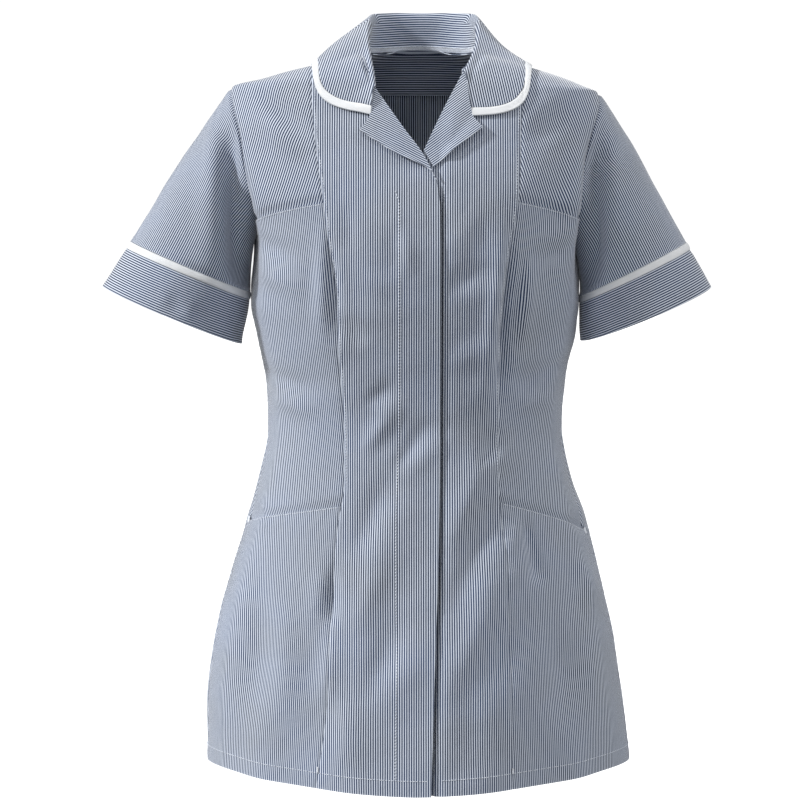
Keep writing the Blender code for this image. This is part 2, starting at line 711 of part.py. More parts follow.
def sleeve_pieces(side):
    """Sleeve, the white trim round it, and its turned cuff."""
    turns = 360 * np.arange(AROUND_SLEEVE) / AROUND_SLEEVE
    hole = armhole(side, turns)
    edge = body(hole[:, 0], hole[:, 1])
    tip = SHOULDER_TIP[side]
    middle = np.array([side * 90, (tip + ARMPIT) / 2])
    inward = unit(body(*(hole + 0.02 * (middle - hole)).T) - edge)
    top, low, hem = (cuff_ring(ring, turns) for ring in SLEEVE_RINGS[side])
    start = edge + inward * 0.5
    shares = [0, 0.05, 0.16, 0.3, 0.45, 0.6, 0.75, 0.88, 1.0]
    swell = unit(top - top.mean(axis=0)) + unit(edge - edge.mean(axis=0))
    swell = unit(swell) * SLEEVE_BULGE * np.maximum(np.cos(np.radians(turns)) * 0.3 + 0.7, 0)[:, None]
    rings = [start + (top - start) * t + swell * 4 * t * (1 - t) for t in shares]
    grid = np.stack(rings)
    normals = sheet_normals(grid, tube=True)
    if (normals[4] * (grid[4] - grid[4].mean(axis=0))).sum() < 0:
        normals = -normals
    inner = grid - normals * WALL
    turned = -normals[0]
    back = np.minimum((turned * inward).sum(axis=-1, keepdims=True), 0)
    inner[0] = grid[0] + unit(turned - back * inward) * WALL
    grid[-1] += (grid[-2] - grid[-1]) * 0.01
    inner[-1] += (inner[-2] - inner[-1]) * 0.01
    label = side_name(side)
    solid(f"sleeve_{label}", grid, inner, tube=True)
    make_band(f"cuff_piping_{label}", top, low, [0, 0.5, 0.96], 0.4, DOUBLE_WALL, TRIM_WHITE)
    make_band(f"cuff_{label}", low, hem, [0, 0.25, 0.5, 0.75, 1], 0.0, DOUBLE_WALL, CLOTH_BLUE)


def make_band(name, first, last, shares, out, wall, colour):
    """A band round the sleeve between two rings."""
    grid = np.stack([first + (last - first) * t for t in shares])
    normals = sheet_normals(grid, tube=True)
    if (normals[1] * (grid[1] - grid[1].mean(axis=0))).sum() < 0:
        normals = -normals
    solid(name, grid + normals * out, grid + normals * (out - wall), colour, tube=True)


def clear_scene():
    for old in list(bpy.data.objects):
        bpy.data.objects.remove(old)


def main():
    clear_scene()
    for side in (RIGHT, LEFT):
        front_centre(side)
        front_yoke(side)
        front_side(side)
        front_hip(side)
        back_side(side)
        lapel(side)
        sleeve_pieces(side)
    back_centre()
    back_neck_facing()
    collar_pieces()


main()
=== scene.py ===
# %% [markdown]
# # A work tunic in fine striped cloth
# The object is a short-sleeved tunic for care work. It is sewn from shaped panels of blue and
# white striped cloth, with a wide collar, two lapels and white trim. Nobody wears it: it is
# filled out as on a hidden form, hollow, and open at the neck, the hem and both sleeves.
# Nothing here is simulated. A garment on a form is pulled almost smooth, so its few folds are
# better placed one by one, each in its own size, than left to chance.

# %% Load the frame
import math
from collections import namedtuple

import bpy
import numpy as np
from mathutils.bvhtree import BVHTree
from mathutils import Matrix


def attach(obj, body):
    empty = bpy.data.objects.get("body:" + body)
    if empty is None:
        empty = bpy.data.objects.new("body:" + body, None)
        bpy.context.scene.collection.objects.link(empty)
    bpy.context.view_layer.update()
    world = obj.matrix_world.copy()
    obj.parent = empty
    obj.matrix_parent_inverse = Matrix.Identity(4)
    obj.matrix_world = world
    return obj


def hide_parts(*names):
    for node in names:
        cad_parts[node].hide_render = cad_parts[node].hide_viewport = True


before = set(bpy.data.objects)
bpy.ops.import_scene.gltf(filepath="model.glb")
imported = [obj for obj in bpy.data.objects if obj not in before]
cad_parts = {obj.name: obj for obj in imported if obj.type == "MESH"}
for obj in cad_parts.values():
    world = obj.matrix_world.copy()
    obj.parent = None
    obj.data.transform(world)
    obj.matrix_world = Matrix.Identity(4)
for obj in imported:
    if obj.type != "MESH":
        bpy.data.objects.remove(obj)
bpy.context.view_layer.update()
print("solids in the frame:", len(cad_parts))

# %% [markdown]
# ## The measurements
# A pattern cutter starts from a few measured lengths. These are the tunic's, in millimetres, and
# they are the ones that the solids were drawn from. The frame is +Z up with the front towards -Y.
# Heights count from the neck points on the shoulder seams. Angles run round the body: 0 is
# centre front, 90 the wearer's left side seam, 180 centre back, -90 the right side seam.

# %% Measurements
METRES = 0.001
CLOTH = 0.9
DOUBLE_CLOTH = 1.8
SOLID_WALL = 1.3
SOLID_DOUBLE = 2.0
LAYER_GAP = 0.35
UNDER_LAYER = SOLID_WALL + LAYER_GAP
HEM = -736.0
HEM_TURN = 20.0
HEM_RISE = 10.0
ARMPIT = -178.0
FRONT_ARMHOLE_DEPTH = 24.0
BACK_ARMHOLE_DEPTH = 26.0
POCKET_UNDERLAP = 15.0
BUTTON_UNDERLAP = 48.0
NAPE_RISE = 5.0
SHOULDER_SEAM_END = -14.3
BACK_HIP = -485.0
FACING_EASE = 1.0
FALL_BULGE = 2.2
LEFT_FALL_DROP = 4.5
LAPEL_RISE = 1.6
ROLL_RADIUS = 2.0
LAP_CLEAR = 2.0
LAP_EASE = 13.0
LAP_SLACK = 0.25
HIP_LEVELS = 90
SIDE_LEVELS = 96
ARMHOLE_STEPS = 60
GRID = 3.4

RIGHT, LEFT = -1, 1
print("neck point to hem, in mm:", -HEM)

# %% [markdown]
# ### Tables of the shape
# A tailor's form is known by its sections and its seam lines, and so is this tunic. Each table
# has one row for a section, a seam point or a fold, in millimetres, with named columns. A section
# is an oval that its fullness pushes out or in beside the middle. Creases stand where the
# photograph shows them, each in its own size, and sparingly on the sides that it hides.

# %% Tables of the shape
Ring = namedtuple("Ring", "height right left front back front_fullness back_fullness")
RINGS = [
    Ring(6, 44, 52, 32, 68, 0.20, 0.30),
    Ring(0, 54, 63, 46, 76, 0.22, 0.30),
    Ring(-7, 76, 86, 57, 82, 0.25, 0.30),
    Ring(-14, 103, 109, 66, 86, 0.28, 0.30),
    Ring(-20, 128, 129, 72, 89, 0.30, 0.30),
    Ring(-28, 157, 153, 78, 92, 0.30, 0.30),
    Ring(-35.5, 186, 171, 83, 95, 0.30, 0.30),
    Ring(-42, 190, 184.5, 86, 97, 0.30, 0.30),
    Ring(-70, 193.5, 191.5, 97, 103, 0.30, 0.28),
    Ring(-107, 191.5, 191, 109, 108, 0.28, 0.25),
    Ring(-142, 185, 185, 118, 110, 0.25, 0.22),
    Ring(-178, 171.5, 171.5, 123, 108, 0.22, 0.20),
    Ring(-200, 170.5, 170, 124, 106, 0.20, 0.18),
    Ring(-250, 169, 167.5, 121, 98, 0.15, 0.15),
    Ring(-292, 162, 160, 114, 90, 0.12, 0.10),
    Ring(-335, 153.5, 152.5, 107, 84, 0.10, 0.05),
    Ring(-380, 151, 149, 103, 83, 0.08, 0.05),
    Ring(-430, 161, 159, 105, 90, 0.05, 0.05),
    Ring(-480, 175, 175.5, 110, 102, 0.02, 0.02),
    Ring(-530, 191, 188.5, 116, 113, 0.00, 0.00),
    Ring(-600, 207.5, 204, 124, 124, -0.10, 0.00),
    Ring(-660, 214.7, 213, 129, 130, -0.20, -0.04),
    Ring(-740, 216.5, 222.5, 134, 135, -0.32, -0.08),
]

Seam = namedtuple("Seam", "height right left")
FRONT_PRINCESS = [
    Seam(-14.3, -103.5, 109.2),
    Seam(-50, -102.8, 104.5),
    Seam(-87, -100.3, 102.2),
    Seam(-120, -96, 101),
    Seam(-155, -91, 99),
    Seam(-204, -85.5, 92.5),
    Seam(-250, -79.5, 88.3),
    Seam(-297, -76.5, 85),
    Seam(-365, -72, 81.8),
    Seam(-434, -71.8, 82.3),
    Seam(-466, -76.8, 84.5),
    Seam(-500, -81, 88.5),
    Seam(-550, -84.5, 91),
    Seam(-624, -86.5, 93.5),
    Seam(-673, -91, 94.3),
    Seam(-740, -100.5, 95),
]
BACK_PRINCESS = [
    Seam(-14.3, -103.5, 109.2),
    Seam(-50, -98, 99),
    Seam(-150, -84, 86),
    Seam(-380, -62, 64),
    Seam(-500, -76, 78),
    Seam(-740, -96, 98),
]
SIDE_SEAM = [
    Seam(ARMPIT, -89.5, 89.5),
    Seam(-300, -87, 86),
    Seam(-430, -82, 80),
    Seam(-471, -80.5, 76.5),
    Seam(-479, -85.5, 76),
    Seam(-491, -85.5, 84.5),
    Seam(-600, -82.5, 84),
    Seam(-660, -82.5, 84.5),
    Seam(-740, -86, 86.5),
]

Point = namedtuple("Point", "x height")
LAP_EDGE = [
    Point(19.2, -133),
    Point(22.5, -153),
    Point(23, -367),
    Point(22, -489),
    Point(18, -609),
    Point(15.8, -682),
    Point(14.1, -740),
]
ROLL_LINE = {
    RIGHT: [Point(19.2, -133), Point(6.1, -107.9), Point(-14.2, -80.4), Point(-41.1, -41.4)],
    LEFT: [Point(-8.4, -134), Point(6.1, -105), Point(26.7, -62.6), Point(46.6, -25.5)],
}
NECK_EDGE = {
    RIGHT: [Point(-41.1, -41.4), Point(-47, -31), Point(-52, -20), Point(-56, -10), Point(-54, 0)],
    LEFT: [Point(46.6, -25.5), Point(53, -21), Point(59, -14), Point(64, -7), Point(63, 0)],
}
LAPEL_ROLL = {
    RIGHT: ROLL_LINE[RIGHT],
    LEFT: [Point(6.9, -104), Point(26.7, -62.6), Point(46.6, -25.5)],
}
LAPEL_EDGE = {
    RIGHT: [Point(17.5, -131), Point(13.8, -124.5), Point(-18.1, -109.3), Point(-54.2, -86.8)],
    LEFT: [Point(16.2, -120.5), Point(40, -101), Point(62.6, -83.6)],
}
LAPEL_NOTCH = {RIGHT: Point(-44.4, -71), LEFT: Point(53.6, -71)}

Mouth = namedtuple("Mouth", "princess_height side_height seam_height")
CHEST_EDGE = {RIGHT: Mouth(-155, -179.5, ARMPIT), LEFT: Mouth(-154, -179.5, ARMPIT)}
HIP_EDGE = {RIGHT: Mouth(-453, -479, -471), LEFT: Mouth(-449.5, -491, -481)}
SHOULDER_CLIMB = [0, 0.14, 0.28, 0.42, 0.55, 0.67, 0.78, 0.87, 0.93, 0.97, 0.99, 1]
SHOULDER_TIP = {RIGHT: -35.5, LEFT: -41.5}

Station = namedtuple(
    "Station", "neck_angle neck_height roll_x roll_y roll_height edge_angle edge_height"
)
COLLAR_STATIONS = [
    Station(-12.7, -42, -41.1, -87, -41, -13.1, -70),
    Station(-15.2, -33, -42.0, -78, -32, -16.9, -67),
    Station(-20.7, -24, -43.2, -69, -23, -21.2, -64.3),
    Station(-29.5, -15.5, -45.3, -56, -12, -25.5, -60),
    Station(-41, -9.5, -47.0, -40, -1.6, -29.8, -51.5),
    Station(-56, -4.5, -48.5, -22, 11, -35, -32.5),
    Station(-75, -1, -48.5, -4, 22.6, -58, -18.6),
    Station(-90, 0, -47.5, 14, 31.6, -82, -14.8),
    Station(-115, 1, -44.0, 38, 41, -115, -16.5),
    Station(-138, 3, -32.0, 57, 44, -138, -18),
    Station(-159, 4.5, -15.0, 64, 45, -159, -19),
    Station(-180, 5, 4.0, 66, 45, -180, -19),
    Station(-201, 4.5, 24.0, 65, 45, -201, -19),
    Station(-222, 3, 45.0, 57, 44, -222, -18),
    Station(-245, 1, 59.0, 39, 41, -245, -17),
    Station(-270, 0, 62.5, 16, 32, -277, -16.7),
    Station(-285, -1, 62.5, -2, 26, -292, -18.5),
    Station(-304, -4.5, 61.5, -20, 14, -314, -29),
    Station(-318, -9, 59.5, -37, 3.5, -323, -43),
    Station(-328, -13.5, 56.5, -51, -5, -326.5, -58),
    Station(-334, -18, 53.0, -63, -13, -331.5, -66),
    Station(-339, -22, 49.5, -72, -20, -337.5, -69.5),
    Station(-342, -25.5, 46.6, -79, -26, -343.7, -70.7),
]

Opening = namedtuple("Opening", "outer_x outer_height inner_x inner_height depth")
SLEEVE_RINGS = {
    RIGHT: [
        Opening(-291.0, -191.6, -173.6, -243.5, 52),
        Opening(-294.9, -198.8, -174.4, -251.0, 53),
        Opening(-319.9, -237.0, -182.6, -296.2, 56),
    ],
    LEFT: [
        Opening(275.1, -192.7, 171.3, -247.5, 52),
        Opening(279.1, -200.2, 171.0, -254.5, 53),
        Opening(301.2, -237.5, 172.4, -292.8, 56),
    ],
}
ARM_FORWARD = -4.0
SLEEVE_BULGE = 1.2

Fold = namedtuple("Fold", "x1 y1 z1 x2 y2 z2 width depth")
FOLDS = [
    Fold(-78, -98, -470, -84, -104, -560, 9, -2.6),
    Fold(112, -88, -462, 124, -92, -520, 10, -2.6),
    Fold(-62, -118, -560, -60, -118, -725, 26, 3.0),
    Fold(60, -118, -560, 62, -118, -725, 28, 3.0),
    Fold(-150, -80, -600, -158, -84, -730, 26, 3.5),
    Fold(150, -78, -600, 160, -82, -730, 26, 3.5),
    Fold(-60, 116, -540, -70, 124, -730, 30, 4.0),
    Fold(64, 114, -540, 76, 124, -730, 30, 4.0),
    Fold(-160, 78, -560, -168, 84, -730, 28, 4.0),
    Fold(160, 78, -560, 170, 84, -730, 28, 4.0),
    Fold(-118, -78, -190, -70, -100, -330, 26, 2.5),
    Fold(118, -78, -190, 72, -100, -330, 26, 2.5),
]

Crease = namedtuple("Crease", "x1 z1 x2 z2 width depth")
FRONT_CREASES = [
    Crease(96, -165, 80, -368, 6.5, -5.6),
    Crease(106, -196, 94, -318, 4.5, -2.6),
    Crease(114, -205, 103, -294, 7, 1.8),
    Crease(-86, -172, -77, -310, 6, -2.6),
    Crease(-93, -185, -84, -284, 8, 1.3),
    Crease(-83, -508, -84, -575, 7, -2.0),
    Crease(-85, -575, -88, -655, 9, 1.5),
    Crease(108, -462, 113, -504, 6, -2.0),
    Crease(113, -488, 121, -534, 7, -1.6),
    Crease(162, -500, 188, -575, 10, 1.7),
    Crease(28, -505, 75, -383, 14, 2.2),
    Crease(31, -566, 82, -440, 14, -2.0),
    Crease(27, -645, 82, -518, 16, 2.0),
    Crease(-52, -650, -10, -544, 14, -2.2),
    Crease(-64, -590, -26, -476, 14, 1.9),
    Crease(-66, -512, -22, -408, 12, -1.8),
    Crease(-26, -422, 19, -362, 9, -1.9),
    Crease(-56, -404, -14, -346, 9, 1.7),
    Crease(-14, -176, -4, -228, 7, 1.5),
    Crease(-162, -40, -98, -97, 10, -2.0),
    Crease(-155, -62, -108, -112, 10, 1.1),
    Crease(160, -50, 105, -104, 11, -1.5),
    Crease(-77, -261, -49, -296, 9, -1.5),
    Crease(26, -242, 73, -210, 11, -1.5),
    Crease(-53, -354, -17, -330, 8, -1.4),
    Crease(60, -420, 82, -375, 10, -1.7),
    Crease(29, -320, 76, -286, 12, 1.2),
    Crease(-63, -212, -24, -249, 11, 1.0),
    Crease(-70, -152, -63, -212, 8, -1.0),
    Crease(67, -162, 60, -212, 9, -1.1),
    Crease(-189, -66, -171, -262, 12, -8.0),
    Crease(-205, -66, -191, -160, 9, 1.4),
    Crease(-179, -80, -172, -160, 4, 1.2),
    Crease(183, -70, 171, -262, 12, -8.0),
    Crease(198, -74, 190, -155, 9, 1.6),
    Crease(-222, -253, -210, -279, 7, -1.8),
    Crease(-183, -268, -170, -322, 9, -3.0),
    Crease(183, -268, 170, -322, 9, -3.0),
    Crease(-246, -239, -236, -267, 8, -1.4),
    Crease(201, -247, 193, -280, 7, -1.8),
    Crease(-168, -185, -112, -215, 9, -1.4),
    Crease(-164, -219, -104, -242, 10, 1.1),
    Crease(165, -189, 114, -215, 9, -1.4),
    Crease(-157, -320, -94, -343, 8, -1.1),
    Crease(-150, -349, -92, -363, 8, 1.0),
    Crease(152, -310, 93, -336, 8, -1.1),
    Crease(149, -347, 93, -356, 8, 0.9),
    Crease(-153, -500, -168, -690, 14, -1.8),
    Crease(-128, -540, -135, -700, 14, 1.5),
    Crease(138, -540, 150, -695, 14, -1.7),
    Crease(174, -566, 187, -705, 14, 1.4),
    Crease(-71, -625, -64, -722, 14, 1.4),
    Crease(51, -612, 59, -725, 15, -1.4),
    Crease(-171, -473, -155, -458, 6, -1.3),
    Crease(175, -488, 155, -465, 6, -1.3),
]
BACK_CREASES = [
    Crease(-95, -70, -160, -48, 12, -1.6),
    Crease(98, -74, 162, -52, 12, -1.5),
    Crease(-86, -165, -98, -70, 12, 1.2),
    Crease(88, -170, 101, -76, 12, 1.1),
    Crease(-60, -320, -150, -296, 10, -1.3),
    Crease(-62, -352, -146, -336, 9, 1.0),
    Crease(64, -326, 148, -304, 10, -1.2),
    Crease(60, -360, 143, -345, 9, 1.0),
    Crease(-40, -372, 30, -366, 9, -0.9),
    Crease(-30, -396, 42, -390, 10, 0.9),
    Crease(-128, -212, -170, -186, 9, -1.5),
    Crease(126, -216, 169, -188, 9, -1.4),
    Crease(-192, -62, -172, -238, 10, -3.6),
    Crease(188, -66, 173, -236, 10, -3.6),
    Crease(-30, -560, -38, -728, 18, -1.5),
    Crease(8, -600, 12, -730, 18, 1.3),
    Crease(46, -548, 54, -726, 17, -1.4),
    Crease(-112, -520, -128, -720, 16, 1.5),
    Crease(-150, -560, -166, -725, 15, -1.6),
    Crease(116, -530, 132, -722, 16, 1.5),
    Crease(156, -556, 170, -724, 15, -1.5),
    Crease(-78, -450, -84, -560, 12, -1.2),
    Crease(80, -456, 86, -552, 12, -1.1),
    Crease(-226, -222, -214, -262, 8, -1.4),
    Crease(215, -224, 204, -264, 8, -1.4),
]
Wave = namedtuple("Wave", "length turn tilt start height")
WAVES = [
    Wave(151, 20, 0.35, 0.7, 0.42),
    Wave(97, 71, 0.10, 2.1, 0.30),
    Wave(63, 128, -0.25, 4.0, 0.20),
    Wave(41, 43, 0.45, 1.2, 0.11),
    Wave(29, 102, -0.50, 5.3, 0.06),
]
print("sections:", len(RINGS), "folds:", len(FOLDS))

# %% [markdown]
# ## The shape of the body
# One function turns an angle and a height into a point on the cloth. Each level is an oval ring
# read from the table of rings, so a panel is only a patch of angles and heights, and neighbours
# that share a seam always meet. Folds are added straight out from the cloth.

# %% Rings, folds and seams
def smooth(places, values):
    """A monotone curve through a few values, as a function of place."""
    order = np.argsort(places)
    x = np.asarray(places, float)[order]
    y = np.asarray(values, float)[order]
    steps = np.diff(x)
    slopes = np.diff(y) / steps
    tangents = np.zeros(len(x))
    tangents[0] = slopes[0]
    tangents[-1] = slopes[-1]
    for i in range(1, len(x) - 1):
        if slopes[i - 1] * slopes[i] > 0:
            before = 2 * steps[i] + steps[i - 1]
            after = steps[i] + 2 * steps[i - 1]
            tangents[i] = (before + after) / (before / slopes[i - 1] + after / slopes[i])

    def at(place):
        place = np.clip(np.asarray(place, float), x[0], x[-1])
        i = np.clip(np.searchsorted(x, place) - 1, 0, len(x) - 2)
        t = (place - x[i]) / steps[i]
        return (
            (1 + 2 * t) * (1 - t) ** 2 * y[i]
            + t * (1 - t) ** 2 * steps[i] * tangents[i]
            + t * t * (3 - 2 * t) * y[i + 1]
            + t * t * (t - 1) * steps[i] * tangents[i + 1]
        )

    return at


def column(table, place, name):
    """One named column of a table, smoothed along another."""
    return smooth([getattr(row, place) for row in table], [getattr(row, name) for row in table])


WIDTH = {RIGHT: column(RINGS, "height", "right"), LEFT: column(RINGS, "height", "left")}
FRONT_DEPTH = column(RINGS, "height", "front")
BACK_DEPTH = column(RINGS, "height", "back")
FRONT_FULLNESS = column(RINGS, "height", "front_fullness")
BACK_FULLNESS = column(RINGS, "height", "back_fullness")
FRONT_SEAM = {RIGHT: column(FRONT_PRINCESS, "height", "right"),
              LEFT: column(FRONT_PRINCESS, "height", "left")}
BACK_SEAM = {RIGHT: column(BACK_PRINCESS, "height", "right"),
             LEFT: column(BACK_PRINCESS, "height", "left")}
SIDE_ANGLE = {RIGHT: column(SIDE_SEAM, "height", "right"),
              LEFT: column(SIDE_SEAM, "height", "left")}
LAP_X = column(LAP_EDGE, "height", "x")


HEM_RISE_START = -560.0
HEM_RISE_CURVE = 1.3


def body_ring(angle, height):
    """The plain ring shape of the body of the tunic, without folds."""
    turn = np.radians(angle)
    across, along = np.sin(turn), np.cos(turn)
    half = np.where(across < 0, WIDTH[RIGHT](height), WIDTH[LEFT](height))
    depth = np.where(along > 0, FRONT_DEPTH(height), BACK_DEPTH(height))
    fullness = np.where(along > 0, FRONT_FULLNESS(height), BACK_FULLNESS(height))
    y = -depth * along * (1 + fullness * across**2)
    low = ramp(np.asarray(height), HEM_RISE_START, HEM)
    rise = HEM_RISE * np.abs(across) ** HEM_RISE_CURVE * low
    return np.stack([half * across, y, height + rise], axis=-1)


def unit(vectors):
    return vectors / np.maximum(np.linalg.norm(vectors, axis=-1, keepdims=True), 1e-9)


def body_normal(angle, height):
    """The direction straight out of the cloth."""
    around = body_ring(angle + 0.5, height) - body_ring(angle - 0.5, height)
    up = body_ring(angle, height + 0.5) - body_ring(angle, height - 0.5)
    return unit(np.cross(around, up))


def ramp(value, start, end):
    """Runs smoothly from 0 at start to 1 at end."""
    t = np.clip((value - start) / (end - start), 0, 1)
    return t * t * (3 - 2 * t)


# %% [markdown]
# ### Creases and folds
# A crease in pressed cloth is a narrow valley or ridge that fades at both ends, with a softer
# swell beside it where the cloth bulges. Both are bell curves across the crease. Noise could make
# them too, but it would put them where nothing pulls the cloth. So each is a line from a table.

# %% Creases and folds
FOLD_STRENGTH = 2.0
CREASE_FADE = 1.4
CREASE_START_WIDTH = 0.75
CREASE_SPREAD = 0.5
SWELL_SHARE = 0.4
SWELL_AWAY = 2.0
SWELL_WIDTH = 1.3


def crease_height(points, creases):
    """Raises or sinks the cloth along each crease, with a softer swell on one side of it."""
    x, z = points[..., 0], points[..., 2]
    total = np.zeros(x.shape)
    for crease in creases:
        run_x, run_z = crease.x2 - crease.x1, crease.z2 - crease.z1
        length = math.hypot(run_x, run_z)
        along = ((x - crease.x1) * run_x + (z - crease.z1) * run_z) / length**2
        aside = ((x - crease.x1) * run_z - (z - crease.z1) * run_x) / length
        fade = np.sin(math.pi * np.clip(along, 0, 1)) ** CREASE_FADE
        wide = crease.width * (CREASE_START_WIDTH + CREASE_SPREAD * np.clip(along, 0, 1))
        valley = np.exp(-((aside / wide) ** 2))
        past = (aside - SWELL_AWAY * wide) / (SWELL_WIDTH * wide)
        swell = SWELL_SHARE * np.exp(-(past ** 2))
        total += FOLD_STRENGTH * crease.depth * fade * (valley - swell)
    return total


def wave_height(points):
    """The slight unevenness that any cloth has."""
    total = np.zeros(points.shape[:-1])
    for wave in WAVES:
        turn = math.radians(wave.turn)
        way = np.array([math.cos(turn), wave.tilt, math.sin(turn)])
        total += wave.height * np.sin(points @ way * (2 * math.pi / wave.length) + wave.start)
    return total


BACK_CREASES_END = -12.0
FRONT_CREASES_START = 22.0


def relief(points):
    """All small folds at these points: the front's, the back's, or a blend at the sides."""
    front = ramp(-points[..., 1], BACK_CREASES_END, FRONT_CREASES_START)
    folds = crease_height(points, FRONT_CREASES) * front
    folds += crease_height(points, BACK_CREASES) * (1 - front)
    return folds + wave_height(points)


FOLD_CREST = 0.75


def fold_height(points):
    """How far the folds raise or sink the cloth at these points."""
    total = relief(points)
    for fold in FOLDS:
        start = np.array([fold.x1, fold.y1, fold.z1], float)
        run = np.array([fold.x2, fold.y2, fold.z2], float) - start
        along = np.clip((points - start) @ run / (run @ run), 0, 1)
        away = np.linalg.norm(points - (start + along[..., None] * run), axis=-1)
        fade = np.sin(math.pi * np.clip(along, 0.0, FOLD_CREST) / (2 * FOLD_CREST)) ** 2
        total += fold.depth * fade * np.exp(-((away / fold.width) ** 2))
    return total


def body(angle, height, out=0.0):
    """A point on the cloth, moved out from it by a distance."""
    angle = np.asarray(angle, float)
    height = np.asarray(height, float)
    points = body_ring(angle, height)
    lift = fold_height(points) + out
    return points + body_normal(angle, height) * lift[..., None]


print("centre front at the hem, in mm:", body([0.0], [HEM])[0].round(1))

# %% [markdown]
# ### Lines on the body
# A seam, a lapel's edge or an armhole is a line on the form. Each is kept as pairs of angle and
# height, so it lies on the cloth however the form is changed.

# %% Lines on the body
def angle_at(x, height):
    """The angle on the front that lies at this distance from the centre."""
    half = np.where(np.asarray(x) < 0, WIDTH[RIGHT](height), WIDTH[LEFT](height))
    return np.degrees(np.arcsin(np.clip(x / half, -1, 1)))


def follow(points, count):
    """Evenly spaced points on a smooth line through a few, as angle and height."""
    xs = np.array([p.x for p in points], float)
    heights = np.array([p.height for p in points], float)
    places = np.concatenate([[0], np.cumsum(np.hypot(np.diff(xs), np.diff(heights)))])
    at = np.linspace(0, places[-1], count)
    x, height = smooth(places, xs)(at), smooth(places, heights)(at)
    return np.stack([x, height], axis=-1)


def on_front(line):
    """Turns distance from the centre and height into angle and height."""
    return np.stack([angle_at(line[:, 0], line[:, 1]), line[:, 1]], axis=-1)


SEAM_SLACK = 0.01


def seam_points(heights, x_at, back=False):
    """A lengthwise seam as angle and height."""
    heights = np.asarray(heights, float)
    angles = angle_at(x_at(heights), heights)
    angles = np.where(heights >= SHOULDER_SEAM_END - SEAM_SLACK, np.sign(angles) * 90, angles)
    if back:
        angles = np.where(angles < 0, -180 - angles, 180 - angles)
    return np.stack([angles, heights], axis=-1)


def armhole(side, turn):
    """The armhole as angle and height: 0 at the shoulder tip, 90 in front, 180 at the armpit."""
    turn = np.radians(turn)
    tip = SHOULDER_TIP[side]
    height = (tip + ARMPIT) / 2 + (tip - ARMPIT) / 2 * np.cos(turn)
    depth = np.where(np.sin(turn) > 0, FRONT_ARMHOLE_DEPTH, BACK_ARMHOLE_DEPTH)
    return np.stack([side * (90 - depth * np.sin(turn)), height], axis=-1)


print("lowest point of the right armhole, in mm:", armhole(RIGHT, 180.0)[1].round(1))

# %% [markdown]
# ## The finishes
# There are three: a polyester and cotton cloth woven in fine stripes, white woven trim, and white
# sewing thread. A procedural material reads where it is on the cloth from a UV map that is
# measured in metres, so that each stripe keeps its true width on every panel.

# %% One function for nodes and one for colours
def linear(text):
    """An sRGB hex colour as the linear numbers that a shader wants."""
    shares = [int(text[i:i + 2], 16) / 255 for i in (0, 2, 4)]
    made = [v / 12.92 if v <= 0.04045 else ((v + 0.055) / 1.055) ** 2.4 for v in shares]
    return (*made, 1.0)


def add(tree, kind, sockets=(), **settings):
    """Adds a node. A socket's value is a number, a colour or another node's output."""
    made = tree.nodes.new(kind)
    for name, value in settings.items():
        setattr(made, name, value)
    for socket, value in sockets:
        if isinstance(value, bpy.types.NodeSocket):
            tree.links.new(value, made.inputs[socket])
        else:
            made.inputs[socket].default_value = value
    return made


def empty_material(name):
    made = bpy.data.materials.new(name)
    made.use_nodes = True
    return made, made.node_tree, made.node_tree.nodes["Principled BSDF"]


# %% [markdown]
# ### Striped cloth
# The real cloth is a plain weave of polyester and cotton. Navy and white warp threads take turns
# and make lines 1.2 mm wide. The dye is in the yarn, so the white lines are clean and the navy
# lines are deep, and a little sheen comes from the polyester. Threads are about 0.25 mm apart,
# which is too fine to show, so the weave is drawn at 0.8 mm. Colour drifts in patches of about
# 7 cm, as it does from yarn to yarn, and pressed creases crumple the surface every 1 cm.

# %% Striped cloth
STRIPE_PITCH = 0.00235
STRIPE_SHARE = 0.54
STRIPE_EDGE = 0.09
STRIPE_DRIFT = 0.0003
DRIFTS_PER_METRE = 45.0
CLOUDS_PER_METRE = 14.0
SLUBS_PER_METRE = (2600.0, 90.0, 1.0)
CRUMPLES_PER_METRE = 95.0
CRUMPLE_DEPTH = 0.0012
THREAD_PITCH = 0.0008
THREAD_DEPTH = 0.0001
RUBBED_EDGE = 2.2
RUBBED_SHARE = 0.16


